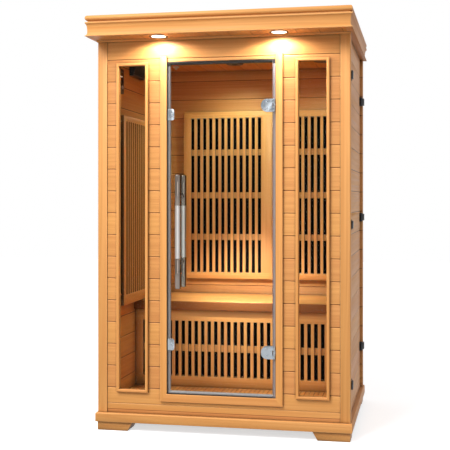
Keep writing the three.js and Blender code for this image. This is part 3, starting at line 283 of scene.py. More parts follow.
BAR_RADIUS = 14 * MM
BAR_EASE = 3 * MM
BAR_SHOULDER = 0.3 * BAR_EASE
GRIP_LOW = 806 * MM
GRIP_HIGH = 1042 * MM
GRIP_RADIUS = 13.3 * MM
HANDLE_FIXINGS = (787 * MM, 1087 * MM)
STANDOFF_RADIUS = 8 * MM
FLANGE_RADIUS = 13 * MM
FLANGE_TOP_RADIUS = 11.5 * MM
FLANGE_RIM = 2.5 * MM
FLANGE_HEIGHT = 4 * MM

CLASP_PIVOT_HEIGHT = 8 * MM
CLASP_EAR_RADIUS = 7.5 * MM
CLASP_EAR_STEPS = 12
CLASP_EAR = 4.9 * MM
CLASP_EAR_GAP = 0.3 * MM
CLASP_PLATE = 1.6 * MM
CLASP_PLATE_END = 24 * MM
CLASP_PLATE_LAP = 5 * MM
SCREW_FROM_PIVOT = 16 * MM
SCREW_SPREAD = 0.6
SCREW_STEPS = 16
SCREW_PROFILE = ((0, 0), (3.4, 0), (3.0, 1.2), (1.6, 1.7), (0, 1.7))
KEEPER_START = 39.4 * MM
KEEPER_END = 44.6 * MM
KEEPER_LOW = 5.6 * MM
KEEPER_HIGH = 9.4 * MM
KEEPER_LAP = 1 * MM

PANEL_EASE = 1.2 * MM
SPEAKER_EASE = 2 * MM
KEY_COLOUR = srgb(150, 152, 156)
DISPLAY_RISE = 61 * MM
DISPLAY_HALF = 45 * MM
DISPLAY_HEIGHT = 40 * MM
DISPLAY_BACK = 2 * MM
DISPLAY_FACE = 0.8 * MM
DISPLAY_COLOUR = srgb(12, 14, 18)
INDICATORS = 5
INDICATOR_PITCH = 16 * MM
INDICATOR_RADIUS = 2.2 * MM
INDICATOR_SIDES = 16
INDICATOR_BACK = 0.9 * MM
INDICATOR_FACE = 0.4 * MM
INDICATOR_GLOW = 1.5
SPEAKER_LIP = 14 * MM
SPEAKER_FOOT = 18 * MM
CLOTH_MARGIN = 8 * MM
CLOTH_BACK = 0.5 * MM
CLOTH_FACE = 1.6 * MM
CLOTH_EASE = 0.8 * MM
CLOTH_WEAVE = 2200.0
CLOTH_COLOURS = (srgb(10, 10, 11), srgb(52, 52, 54))

DOWNLIGHT_LENS = 33 * MM
DOWNLIGHT_PROUD = 3 * MM
DOWNLIGHT_BEAM = (172, 0.3)
CEILING_LENS = 12 * MM
CEILING_PROUD = 9 * MM
CEILING_BEAM = (155, 0.8)
CEILING_SHARES = {"middle": 1.0, "right": 0.4}
CEILING_RING_COLOUR = srgb(40, 34, 30)
BENCH_BEAM = (66, 1.0)
BENCH_LAMP = (0.0, -0.3, 1.06)
LAMP_RADIUS = 30 * MM
LAMP_GAP = 4 * MM
# Shares of a fitting's radius or of how far it stands proud
BEZEL_NECK = 0.8
BEZEL_RIM = 0.4
BEZEL_SLOPE = 0.6
LENS_RECESS = 0.7
LENS_SAG = 0.4
LENS_LIP = 3 * MM
LENS_GAP = 0.4 * MM
LENS_THICKNESS = 0.5 * MM
LENS_STEPS = 6

FLOOR_HALF = 12.0
FLOOR_SEEN = ((0.84, 0.85, 0.87), (0.86, 0.87, 0.89))
FLOOR_BOUNCE = (0.16, 0.16, 0.16)
FLOOR_LIFT = 0.62
KEY_PLACE = (-2.0, -3.8, 4.6)
FILL_PLACE = (3.8, -3.4, 2.2)
FRONT_PLACE = (0.6, -5.0, 1.3)
SIDE_LAMP_SIZE = 3.0
FRONT_LAMP_SIZE = 2.0
LAMP_AIM = (0, 0, 0.95)
FILM_WIDTH = 36.0


def timber_settings():
    return bpy.context.scene.sauna_timber


def hardware_settings():
    return bpy.context.scene.sauna_hardware


def stage_settings():
    return bpy.context.scene.sauna_stage


# Meshes


def prism(bm, outline, low, high, place):
    """Adds a flat outline carried from low to high. place(a, b, depth) gives each corner's point."""
    bottom = [bm.verts.new(place(a, b, low)) for a, b in outline]
    top = [bm.verts.new(place(a, b, high)) for a, b in outline]
    bm.faces.new(bottom)
    bm.faces.new(top)
    for i, corner in enumerate(bottom):
        j = (i + 1) % len(bottom)
        bm.faces.new((corner, bottom[j], top[j], top[i]))


def turned(bm, profile, steps, place):
    """Adds a solid turned from (radius, height) points that start and end on its axis."""
    rings = []
    for radius, height in profile:
        if radius == 0:
            rings.append([bm.verts.new(place(0, 0, height))])
            continue
        ring = []
        for i in range(steps):
            turn = 2 * math.pi * i / steps
            ring.append(bm.verts.new(place(radius * math.cos(turn), radius * math.sin(turn), height)))
        rings.append(ring)
    for low, high in zip(rings, rings[1:]):
        for i in range(steps):
            j = (i + 1) % steps
            corners = [low[i % len(low)], low[j % len(low)], high[j % len(high)], high[i % len(high)]]
            bm.faces.new(list(dict.fromkeys(corners)))


def arc(centre_a, centre_b, radius, start, end, steps):
    """Points of a circular arc, with angles in degrees."""
    points = []
    for i in range(steps + 1):
        turn = math.radians(start + (end - start) * i / steps)
        points.append((centre_a + radius * math.cos(turn), centre_b + radius * math.sin(turn)))
    return points


def box_outline(a0, a1, b0, b1):
    """Corners of a rectangle."""
    return [(a0, b0), (a1, b0), (a1, b1), (a0, b1)]


def in_metres(profile):
    """A profile given in millimetres."""
    return [(radius * MM, height * MM) for radius, height in profile]


def along_x(a, b, depth):
    """Places an outline of (y, z) points that is carried along X."""
    return Vector((depth, a, b))


def bevelled(piece, width, segments=2, angle=35):
    """Rounds a piece's sharp edges and shades what is left smooth."""
    for face in piece.data.polygons:
        face.use_smooth = True
    bevel = piece.modifiers.new("eased edges", "BEVEL")
    bevel.width = width
    bevel.segments = segments
    bevel.limit_method = "ANGLE"
    bevel.angle_limit = math.radians(angle)
    bevel.harden_normals = True
    bevel.use_clamp_overlap = True
    return piece


def linked(name, data):
    """A new object in the scene."""
    made = bpy.data.objects.new(name, data)
    bpy.context.scene.collection.objects.link(made)
    return made


def new_piece(name, bm, finish, body, replaced=()):
    """Turns a bmesh into a piece that rides a body."""
    bmesh.ops.recalc_face_normals(bm, faces=bm.faces)
    mesh = bpy.data.meshes.new(name)
    bm.to_mesh(mesh)
    bm.free()
    mesh.materials.append(finish)
    piece = linked(name, mesh)
    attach(piece, body)
    if replaced:
        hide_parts(*replaced)
    return piece


def body_of(node):
    return frame["nodes"][node]["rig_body"]


def dressed(node, finish, ease):
    """A copy of a CAD node with its flat faces joined and its edges eased, shown in its place."""
    bm = bmesh.new()
    bm.from_mesh(frame["nodes"][node].data)
    bmesh.ops.remove_doubles(bm, verts=bm.verts, dist=MERGE_GAP)
    bmesh.ops.dissolve_limit(bm, angle_limit=math.radians(FLAT_ANGLE), verts=bm.verts, edges=bm.edges)
    piece = new_piece(f"{node}_dressed", bm, finish, body_of(node), [node])
    return bevelled(piece, ease)


def finish_node(node, finish):
    """Gives a CAD node that stays in view a finish of its own."""
    slots = frame["nodes"][node].data.materials
    slots.clear()
    slots.append(finish)


# Materials


class Graph:
    """A new material with short calls for the nodes that the finishes share."""

    def __init__(self, name):
        self.material = bpy.data.materials.new(name)
        self.material.use_nodes = True
        self.tree = self.material.node_tree
        self.tree.nodes.clear()
        self.output = self.tree.nodes.new("ShaderNodeOutputMaterial")

    def node(self, kind, **settings):
        made = self.tree.nodes.new(f"ShaderNode{kind}")
        for key, value in settings.items():
            setattr(made, key, value)
        return made

    def feed(self, socket, value):
        if isinstance(value, bpy.types.NodeSocket):
            self.tree.links.new(value, socket)
        else:
            socket.default_value = value

    def fed(self, kind, *values, **settings):
        """A node with its first sockets fed in order."""
        made = self.node(kind, **settings)
        for socket, value in zip(made.inputs, values):
            self.feed(socket, value)
        return made

    def math(self, operation, first, second=0.0):
        return self.fed("Math", first, second, operation=operation).outputs[0]

    def vector(self, operation, first, second):
        made = self.fed("VectorMath", first, second, operation=operation)
        return made.outputs["Value" if operation == "DOT_PRODUCT" else "Vector"]

    def combine(self, x, y, z):
        return self.fed("CombineXYZ", x, y, z).outputs[0]

    def coordinates(self, kind="Object"):
        split = self.fed("SeparateXYZ", self.node("TexCoord").outputs[kind])
        return split.outputs["X"], split.outputs["Y"], split.outputs["Z"]

    def noise(self, vector, scale, detail=4.0, roughness=0.55, distortion=0.0):
        made = self.node("TexNoise")
        self.feed(made.inputs["Vector"], vector)
        made.inputs["Scale"].default_value = scale
        made.inputs["Detail"].default_value = detail
        made.inputs["Roughness"].default_value = roughness
        made.inputs["Distortion"].default_value = distortion
        return made.outputs["Fac"]

    def weave(self, first, second, scale):
        """A woven pattern from -1 to 1 over two coordinates."""
        waves = [self.math("SINE", self.math("MULTIPLY", value, scale)) for value in (first, second)]
        return self.math("MULTIPLY", *waves)

    def spread(self, value, low, high, to_low=0.0, to_high=1.0):
        return self.fed("MapRange", value, low, high, to_low, to_high).outputs[0]

    def mix(self, share, first, second, blend="MIX"):
        made = self.node("Mix", data_type="RGBA", blend_type=blend)
        self.feed(made.inputs["Factor"], share)
        colours = [socket for socket in made.inputs if socket.type == "RGBA"]
        for socket, value in zip(colours, (first, second)):
            if not isinstance(value, bpy.types.NodeSocket):
                value = (*value[:3], 1.0)
            self.feed(socket, value)
        return next(socket for socket in made.outputs if socket.type == "RGBA")

    def choose(self, share, first, second):
        made = self.node("Mix", data_type="VECTOR")
        self.feed(made.inputs["Factor"], share)
        vectors = [socket for socket in made.inputs if socket.type == "VECTOR"]
        self.feed(vectors[-2], first)
        self.feed(vectors[-1], second)
        return next(socket for socket in made.outputs if socket.type == "VECTOR")

    def bump(self, height, strength, distance, normal=None):
        made = self.node("Bump")
        made.inputs["Strength"].default_value = strength
        made.inputs["Distance"].default_value = distance
        self.feed(made.inputs["Height"], height)
        if normal is not None:
            self.feed(made.inputs["Normal"], normal)
        return made.outputs[0]

    def surface(self, colour, roughness, metallic=0.0, normal=None, **sockets):
        made = self.node("BsdfPrincipled")
        self.feed(made.inputs["Base Color"], colour)
        self.feed(made.inputs["Roughness"], roughness)
        made.inputs["Metallic"].default_value = metallic
        for name, value in sockets.items():
            self.feed(made.inputs[name.replace("_", " ")], value)
        if normal is not None:
            self.feed(made.inputs["Normal"], normal)
        self.feed(self.output.inputs["Surface"], made.outputs[0])
        return made


def grain_vector(graph, coordinates, axis):
    """The point as (along the grain, across it, through it) for a grain axis."""
    x, y, z = coordinates
    return {"X": graph.combine(x, z, y), "Y": graph.combine(y, z, x), "Z": graph.combine(z, x, y)}[axis]


def timber(name, along, board=None, sides=None, is_pale=False, seam=0.0, painted_shade_share=1.0, dim=None):
    """Softwood with faint figure, fine straight streaks, board-to-board tint, rubbed edges partly lit as
    painted highlight, a painted highlight below seams and painted shade in hollows.

    along is the grain's axis. board is (axis, pitch, start) of a row of boards, with a dark line of half
    width seam between them. sides is (axis, function) for members that run along a second grain axis;
    the function gives their share from the graph and the coordinates. hollow is how much the painted shade
    in hollows darkens the colour.
    dim is the axis that the faces given painted shade look along.
    """
    settings = timber_settings()
    graph = Graph(name)
    coordinates = graph.coordinates()
    vector = grain_vector(graph, coordinates, along)
    turn = 0.0
    if sides:
        turn = sides[1](graph, coordinates)
        vector = graph.choose(turn, vector, grain_vector(graph, coordinates, sides[0]))
    number = turn
    place = 0.0
    if board:
        axis, pitch, start = board
        place = graph.math("DIVIDE", graph.math("SUBTRACT", coordinates["XYZ".index(axis)], start), pitch)
        number = graph.math("FLOOR", place)
        if sides:
            number = graph.math("MULTIPLY", number, graph.math("SUBTRACT", 1.0, turn))
    chance = graph.node("TexWhiteNoise", noise_dimensions="1D")
    graph.feed(chance.inputs["W"], number)
    offset = graph.vector("SCALE", chance.outputs["Color"], (0, 0, 0))
    offset.node.inputs["Scale"].default_value = BOARD_SHIFT
    vector = graph.vector("ADD", vector, offset)

    broad = graph.noise(graph.vector("MULTIPLY", vector, FIGURE_STRETCH), 2.0, 2.0, 0.5, 0.3)
    rings = graph.math("PINGPONG", graph.math("MULTIPLY", broad, RING_COUNT), 1.0)
    streaks = graph.noise(graph.vector("MULTIPLY", vector, STREAK_STRETCH), 1.0, 4.0, 0.6)
    pores = graph.noise(graph.vector("MULTIPLY", vector, PORE_STRETCH), 1.0, 2.0, 0.5)

    dark = settings.pale_dark if is_pale else settings.dark
    light = settings.pale_light if is_pale else settings.light
    figure = graph.math("ADD", graph.math("MULTIPLY", rings, 0.3), graph.math("MULTIPLY", streaks, 0.7))
    colour = graph.mix(graph.spread(figure, 0.1, 0.9), dark, light)
    colour = graph.mix(graph.spread(pores, 0.64, 0.8, 0.0, 0.25), colour, dark, "MULTIPLY")
    tone = graph.node("HueSaturation")
    graph.feed(tone.inputs["Color"], colour)
    graph.feed(tone.inputs["Hue"], graph.spread(chance.outputs["Value"], 0, 1, *BOARD_HUES))
    graph.feed(tone.inputs["Value"], graph.spread(chance.outputs["Value"], 0, 1, *BOARD_VALUES))
    colour = tone.outputs["Color"]

    # Edges lightened towards the rubbed-edge colour: partly rubbed timber, partly painted highlight where
    # the edges catch the light
    round_edge = graph.node("Bevel", samples=4)
    round_edge.inputs["Radius"].default_value = EDGE_WEAR_AND_HIGHLIGHT_RADIUS
    flat = graph.node("NewGeometry").outputs["Normal"]
    sharp = graph.math("SUBTRACT", 1.0, graph.vector("DOT_PRODUCT", round_edge.outputs[0], flat))
    wear_and_highlight = graph.spread(sharp, 0.01, 0.16, 0.0, 0.85)
    wear_and_highlight = graph.math("MULTIPLY", wear_and_highlight, graph.spread(streaks, 0.3, 0.7, 0.5, 1.0))
    colour = graph.mix(wear_and_highlight, colour, settings.edge)
    # Painted light: corner gathers the painted shade in hollows, the painted highlight below seams and the
    # painted shade on slot sides, and scales the colour
    corner = 1.0
    for reach, depth in PAINTED_SHADE_HOLLOWS.items():
        closeness = graph.node("AmbientOcclusion", samples=5)
        closeness.inputs["Distance"].default_value = reach
        shade = graph.spread(closeness.outputs["AO"], 0.2, 0.75, 1 - depth * painted_shade_share, 1.0)
        corner = graph.math("MULTIPLY", corner, shade)
    if seam:
        rise = graph.math("MULTIPLY", graph.math("FRACT", place), pitch)
        fall = graph.math("SUBTRACT", pitch, rise)
        line = graph.spread(graph.math("MINIMUM", rise, fall), 0.5 * seam, seam)
        colour = graph.mix(line, SEAM_COLOUR, colour)
        # Painted highlight along the top edge of the board below each seam
        corner = graph.math("MULTIPLY", corner, graph.spread(fall, 2 * seam, 3 * seam, SEAM_PAINTED_HIGHLIGHT, 1.0))
    # Painted shade on the faces that look along dim: the slot sides of the side grilles
    if dim:
        facing = graph.math("ABSOLUTE", graph.coordinates("Normal")["XYZ".index(dim)])
        corner = graph.math("MULTIPLY", corner, graph.spread(facing, 0.4, 0.6, 1.0, SLOT_SHADE))
    colour = graph.vector("SCALE", colour, (0, 0, 0))
    graph.feed(colour.node.inputs["Scale"], corner)

    grain = graph.math("ADD", graph.math("MULTIPLY", streaks, 0.6), graph.math("MULTIPLY", pores, 0.4))
    normal = graph.bump(grain, 0.15, 0.0005)
    roughness = graph.spread(streaks, 0.3, 0.7, 0.42, 0.58)
    graph.surface(colour, roughness, 0.0, normal, Specular_IOR_Level=0.35)
    return graph.material


def ring_sides(node):
    """The share of side-rail grain on a mitred frame that lies flat."""
    low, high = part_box(node)

    def share(graph, coordinates):
        x, y, _ = coordinates
        from_side = graph.math("SUBTRACT", (high.x - low.x) / 2, graph.math("ABSOLUTE", x))
        across = graph.math("ABSOLUTE", graph.math("SUBTRACT", y, (high.y + low.y) / 2))
        from_end = graph.math("SUBTRACT", (high.y - low.y) / 2, across)
        return graph.math("LESS_THAN", from_side, from_end)

    return share


def upright_ends(node, rail, has_top):
    """The share of cross-grain on the short members of an upright mitred frame."""
    low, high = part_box(node)

    def share(graph, coordinates):
        x, _, z = coordinates
        middle = (high.x + low.x) / 2
        offset = graph.math("ABSOLUTE", graph.math("SUBTRACT", x, middle))
        from_side = graph.math("SUBTRACT", (high.x - low.x) / 2, offset)
        rise = graph.math("SUBTRACT", z, low.z)
        if has_top:
            rise = graph.math("MINIMUM", rise, graph.math("SUBTRACT", high.z, z))
        is_near = graph.math("LESS_THAN", rise, rail)
        return graph.math("MULTIPLY", is_near, graph.math("LESS_THAN", rise, from_side))

    return share


def grille_rails(node, axis, is_reversed, bottom, top):
    """The share of cross-grain on the rails of a grille and on the battens behind its slats."""
    low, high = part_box(node)
    index = "XYZ".index(axis)

    def share(graph, coordinates):
        z = coordinates[2]
        is_low = graph.math("LESS_THAN", z, low.z + bottom)
        is_high = graph.math("GREATER_THAN", z, high.z - top)
        if is_reversed:
            is_behind = graph.math("LESS_THAN", coordinates[index], high[index] - SLAT_BACK)
        else:
            is_behind = graph.math("GREATER_THAN", coordinates[index], low[index] + SLAT_BACK)
        return graph.math("MAXIMUM", is_behind, graph.math("MAXIMUM", is_low, is_high))

    return share


def clear_glass():
    """Float glass: clear faces with a soft reflection, grey edges and a top edge darkened with painted
    shade.
    """
    graph = Graph("clear glass")
    _, across, rise = graph.coordinates("Normal")
    clear = graph.fed("BsdfTransparent", GLASS_TINT)
    gloss = graph.node("BsdfGlossy")
    gloss.inputs["Roughness"].default_value = 0.02
    facing = graph.fed("LayerWeight", 0.12)
    shine = graph.math("MULTIPLY", facing.outputs["Fresnel"], 0.3)
    face = graph.fed("MixShader", shine, clear.outputs[0], gloss.outputs[0])
    # Painted shade: the top edge of the glass is coloured dark as if shaded by the header
    is_top = graph.math("GREATER_THAN", rise, 0.5)
    smear = graph.noise(graph.node("TexCoord").outputs["Object"], 60.0)
    rim = graph.surface(graph.mix(is_top, hardware_settings().glass_edge, GLASS_TOP_PAINTED_SHADE),
                        graph.spread(smear, 0.3, 0.7, 0.1, 0.3))
    is_edge = graph.math("LESS_THAN", graph.math("ABSOLUTE", across), 0.5)
    shader = graph.fed("MixShader", is_edge, face.outputs[0], rim.outputs[0])
    graph.feed(graph.output.inputs["Surface"], shader.outputs[0])
    return graph.material


def metal(name, colour, low, high, brushed=None):
    """Metal whose roughness goes from low to high. brushed is the axis of any brush marks."""
    graph = Graph(name)
    coordinates = graph.coordinates()
    if brushed:
        vector = graph.vector("MULTIPLY", grain_vector(graph, coordinates, brushed), (6, 900, 900))
        marks = graph.noise(vector, 1.0, 2.0)
    else:
        marks = graph.noise(graph.combine(*coordinates), 90.0)
    shade = graph.mix(graph.spread(marks, 0.3, 0.7, 0.0, 0.25), colour, [0.82 * c for c in colour])
    normal = graph.bump(marks, 0.08 if brushed else 0.01, 0.0002)
    graph.surface(shade, graph.spread(marks, 0.3, 0.7, low, high), 1.0, normal)
    return graph.material


def moulded(name, colour, roughness, grain_scale=900.0, metallic=0.0):
    """Fine-grained plastic or powder paint, slightly worn."""
    graph = Graph(name)
    point = graph.node("TexCoord").outputs["Object"]
    grain = graph.noise(point, grain_scale, 3.0)
    dust = graph.noise(point, 14.0, 4.0)
    worn = [min(1.0, 1.5 * c + 0.012) for c in colour]
    shade = graph.mix(graph.spread(dust, 0.4, 0.75, 0.0, 0.6), colour, worn)
    normal = graph.bump(grain, 0.2, 0.0003)
    sheen = graph.spread(grain, 0.3, 0.7, roughness - 0.06, roughness + 0.06)
    graph.surface(shade, sheen, metallic, normal)
    return graph.material


def lit_lens(name, strength):
    """A frosted lens that glows."""
    graph = Graph(name)
    frost = graph.noise(graph.node("TexCoord").outputs["Object"], 500.0)
    colour = graph.mix(frost, (1.0, 0.9, 0.72), (1.0, 0.95, 0.85))
    graph.surface(colour, 0.4, Emission_Color=(1.0, 0.9, 0.74, 1.0), Emission_Strength=strength)
    return graph.material


def heater_face():
    """Matte black heating panel with a fine woven pattern."""
    graph = Graph("heater panel")
    x, y, z = graph.coordinates()
    weave = graph.weave(z, graph.math("ADD", x, y), HEATER_WEAVE)
    colour = graph.mix(graph.spread(weave, -1.0, 1.0), *HEATER_COLOURS)
    graph.surface(colour, 0.85, 0.0, graph.bump(weave, 0.2, 0.0003), Specular_IOR_Level=0.15)
    return graph.material


def seal_rubber():
    """Soft grey seal with faint streaks and a head darkened with painted shade."""
    graph = Graph("door seal")
    x, y, z = graph.coordinates()
    streak = graph.noise(graph.combine(x, y, graph.math("MULTIPLY", z, 0.2)), 120.0)
    base = hardware_settings().gasket
    colour = graph.mix(graph.spread(streak, 0.3, 0.7), [0.85 * c for c in base], base)
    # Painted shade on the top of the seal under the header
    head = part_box("door_gasket")[1].z - GASKET_HEAD
    colour = graph.mix(graph.math("GREATER_THAN", z, head), colour, GASKET_HEAD_PAINTED_SHADE)
    graph.surface(colour, 0.5, 0.0, graph.bump(streak, 0.1, 0.0004))
    return graph.material


# Operators


class SaunaOperator(bpy.types.Operator):
    """Shared options of the operators that dress the cabin."""

    bl_options = {"REGISTER"}


WALL_NODES = {"wall_front": "X", "wall_back": "X", "wall_right": "Y", "wall_left": "Y"}
SIDES = ("right", "left")
LEVELS = ("lower", "upper")


class SAUNA_OT_walls(SaunaOperator):
    """Dresses the boarded walls and the corner posts"""

    bl_idname = "sauna.walls"
    bl_label = "Walls and posts"

    def execute(self, context):
        settings = timber_settings()
        rows = ("Z", settings.wall_board, settings.wall_seam)
        for node, along in WALL_NODES.items():
            finish = timber(f"{node} boards", along, rows, seam=settings.seam)
            dressed(node, finish, settings.ease)
        for side in SIDES:
            node = f"post_front_{side}"
            dressed(node, timber(f"{node} timber", "Z"), settings.ease)
        return {"FINISHED"}


class SAUNA_OT_base(SaunaOperator):
    """Dresses the feet, the plinth and the slatted floor"""

    bl_idname = "sauna.base"
    bl_label = "Feet, plinth and floor"

    def execute(self, context):
        settings = timber_settings()
        foot = timber("foot timber", "X")
        for row in ("front", "back"):
            for side in SIDES:
                dressed(f"foot_{row}_{side}", foot, settings.ease)
        plinth = timber("plinth timber", "X", sides=("Y", ring_sides("plinth_frame")))
        dressed("plinth_frame", plinth, settings.ease)
        half = settings.floor_board / 2
        boards = timber("floor boards", "Y", ("X", settings.floor_board, half), seam=1.5 * settings.seam)
        dressed("floor_panel", boards, settings.ease / 2)
        return {"FINISHED"}


class SAUNA_OT_trims(SaunaOperator):
    """Dresses the door casing, the window trims and the door seal"""

    bl_idname = "sauna.trims"
    bl_label = "Casing and trims"

    def execute(self, context):
        settings = timber_settings()
        ends = upright_ends("door_casing", CASING_SILL, False)
        casing = timber("casing timber", "Z", sides=("X", ends), is_pale=True)
        dressed("door_casing", casing, settings.ease)
        for side in SIDES:
            node = f"window_trim_{side}"
            ends = upright_ends(node, TRIM_RAIL, True)
            finish = timber(f"{node} timber", "Z", sides=("X", ends), is_pale=True)
            dressed(node, finish, settings.ease)
        dressed("door_gasket", seal_rubber(), settings.ease)
        return {"FINISHED"}


class SAUNA_OT_roof(SaunaOperator):
    """Dresses the cornice, the roof panel and its cover, and adds the soffit bead and the sensor"""

    bl_idname = "sauna.roof"
    bl_label = "Roof"

    def execute(self, context):
        settings = timber_settings()
        returns = ("Y", ring_sides("roof_cornice"))
        # The cornice gets a lighter painted shade in its hollows
        cornice = timber("cornice timber", "X", sides=returns, painted_shade_share=CORNICE_PAINTED_SHADE)
        dressed("roof_cornice", cornice, settings.ease / 2)
        rows = ("X", settings.ceiling_board, settings.ceiling_board / 2)
        boards = timber("ceiling boards", "Y", rows, seam=settings.seam)
        dressed("roof_panel", boards, settings.ease / 2)
        dressed("roof_cover", timber("cover timber", "X"), settings.ease)
        self.soffit_bead()
        self.sensor()
        return {"FINISHED"}

    def soffit_bead(self):
        """A thin quarter-round bead where the front wall meets the soffit."""
        post_low, post_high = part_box("post_front_right")
        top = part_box("roof_cornice")[0].z
        face = post_low.y
        nose = arc(face, top, BEAD_RADIUS, 270, 180, BEAD_STEPS)
        bm = bmesh.new()
        prism(bm, [(face, top), *nose], -post_high.x, post_high.x, along_x)
        finish = timber("bead timber", "X", is_pale=True)
        bevelled(new_piece("soffit_bead", bm, finish, "cabin"), FINE_EASE)

    def sensor(self):
        """The small temperature sensor under the ceiling."""
        place = Vector((SENSOR_X, SENSOR_Y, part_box("roof_panel")[0].z))
        bm = bmesh.new()
        turned(bm, in_metres(SENSOR_PROFILE), hardware_settings().round_steps,
               lambda a, b, height: place + Vector((a, b, height)))
        finish = moulded("sensor plastic", SENSOR_COLOUR, 0.45)
        bevelled(new_piece("temperature_sensor", bm, finish, "cabin"), SENSOR_EASE)


class SAUNA_OT_grilles(SaunaOperator):
    """Dresses the slatted heater grilles, the heater panels and the bench"""

    bl_idname = "sauna.grilles"
    bl_label = "Grilles and bench"

    def execute(self, context):
        settings = timber_settings()
        for node, run, depth, is_reversed, bottom, top in (
            ("back_grille_left", "X", "Y", False, *BACK_RAILS),
            ("back_grille_right", "X", "Y", False, *BACK_RAILS),
            ("calf_grille", "X", "Y", False, *CALF_RAILS),
            ("side_grille_right", "Y", "X", False, *SIDE_RAILS),
            ("side_grille_left", "Y", "X", True, *SIDE_RAILS),
        ):
            low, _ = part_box(node)
            slats = (run, settings.slat_pitch, low["XYZ".index(run)] + FIRST_SLOT)
            rails = (run, grille_rails(node, depth, is_reversed, bottom, top))
            # The side grilles get painted shade on their slot sides
            shaded = "Y" if node.startswith("side") else None
            finish = timber(f"{node} slats", "Z", slats, rails, dim=shaded)
            dressed(node, finish, settings.ease)
        rows = ("Y", settings.bench_board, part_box("bench_seat")[0].y)
        bench = timber("bench boards", "X", rows, seam=settings.seam)
        dressed("bench_seat", bench, settings.ease)
        heater = heater_face()
        for node in ("back_heater", "side_heater_right", "side_heater_left", "calf_heater"):
            finish_node(node, heater)
        return {"FINISHED"}


class SAUNA_OT_glass(SaunaOperator):
    """Gives the door and the windows their glass"""

    bl_idname = "sauna.glass"
    bl_label = "Glass"

    def execute(self, context):
        glass = clear_glass()
        for node in ("door_glass", "window_pane_right", "window_pane_left"):
            finish_node(node, glass)
        return {"FINISHED"}


class SAUNA_OT_door_hardware(SaunaOperator):
    """Makes the bar handle and finishes the hinges and catches"""

    bl_idname = "sauna.door_hardware"
    bl_label = "Door hardware"

    def execute(self, context):
        settings = hardware_settings()
        chrome = metal("polished chrome", settings.chrome, 0.2, 0.3)
        # The polished ends' dark brownish colour is a painted reflection
        dark = metal("dark chrome", settings.chrome_with_painted_reflection, 0.08, 0.16)
        satin = metal("satin steel", settings.satin, 0.3, 0.42, "Z")
        for level in LEVELS:
            for node in (f"door_hinge_{level}", f"hinge_leaf_{level}", f"door_catch_{level}"):
                dressed(node, chrome, PLATE_EASE)
            self.bolt_caps(level, chrome)
        self.handle(dark, satin)
        return {"FINISHED"}

    def bolt_caps(self, level, chrome):
        """Domed caps over the bolts of one hinge and one catch."""
        steps = hardware_settings().round_steps
        hinge_low, hinge_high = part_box(f"door_hinge_{level}")
        catch_low, catch_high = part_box(f"door_catch_{level}")
        glass_low, glass_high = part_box("door_glass")
        hinge_z = (hinge_low.z + hinge_high.z) / 2
        catch_z = (catch_low.z + catch_high.z) / 2
        cap_x = glass_high.x - CLAMP_CAP_FROM_EDGE
        cap_y = glass_low.y - CLAMP_THICKNESS
        places = [Vector((cap_x, cap_y, hinge_z + rise)) for rise in (-CLAMP_CAP_RISE, CLAMP_CAP_RISE)]
        places.append(Vector((glass_low.x + CATCH_CAP_FROM_EDGE, catch_low.y, catch_z)))
        bm = bmesh.new()
        for place in places:
            turned(bm, in_metres(CAP_PROFILE), steps,
                   lambda a, b, height, at=place: at + Vector((a, -height, b)))
        bevelled(new_piece(f"bolt_caps_{level}", bm, chrome, "door"), SHARP_EASE)

    @staticmethod
    def bar_end(start, end):
        """Profile of a polished bar end with eased rims."""
        rim = BAR_RADIUS - BAR_EASE
        shoulder = BAR_RADIUS - BAR_SHOULDER
        return [
            (0, start), (rim, start), (shoulder, start + BAR_SHOULDER), (BAR_RADIUS, start + BAR_EASE),
            (BAR_RADIUS, end - BAR_EASE), (shoulder, end - BAR_SHOULDER), (rim, end), (0, end),
        ]

    def handle(self, polish, satin):
        """Two bars with polished ends and a satin middle, on stand-offs through the glass."""
        steps = hardware_settings().round_steps
        low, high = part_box("door_handle")
        glass_low, glass_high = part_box("door_glass")
        x = (low.x + high.x) / 2
        outer = low.y + BAR_RADIUS
        inner = high.y - BAR_RADIUS

        def upright(y):
            return lambda a, b, height: Vector((x + a, y + b, height))

        def across(z):
            return lambda a, b, depth: Vector((x + a, depth, z + b))

        polished = bmesh.new()
        brushed = bmesh.new()
        grip_start = GRIP_LOW - BAR_EASE
        grip_end = GRIP_HIGH + BAR_EASE
        grip = [(0, grip_start), (GRIP_RADIUS, grip_start), (GRIP_RADIUS, grip_end), (0, grip_end)]
        for y in (outer, inner):
            turned(polished, self.bar_end(low.z, GRIP_LOW), steps, upright(y))
            turned(polished, self.bar_end(GRIP_HIGH, high.z), steps, upright(y))
            turned(brushed, grip, steps, upright(y))
        standoff = [(0, outer), (STANDOFF_RADIUS, outer), (STANDOFF_RADIUS, inner), (0, inner)]
        for z in HANDLE_FIXINGS:
            turned(polished, standoff, steps, across(z))
            for face, away in ((glass_low.y, -1), (glass_high.y, 1)):
                rim = face + away * FLANGE_RIM
                top = face + away * FLANGE_HEIGHT
                flange = [(0, face), (FLANGE_RADIUS, face), (FLANGE_RADIUS, rim),
                          (FLANGE_TOP_RADIUS, top), (0, top)]
                turned(polished, flange, steps, across(z))
        ends = new_piece("handle_ends", polished, polish, "door", ["door_handle"])
        bevelled(ends, CRISP_EASE)
        bevelled(new_piece("handle_grips", brushed, satin, "door"), SHARP_EASE)


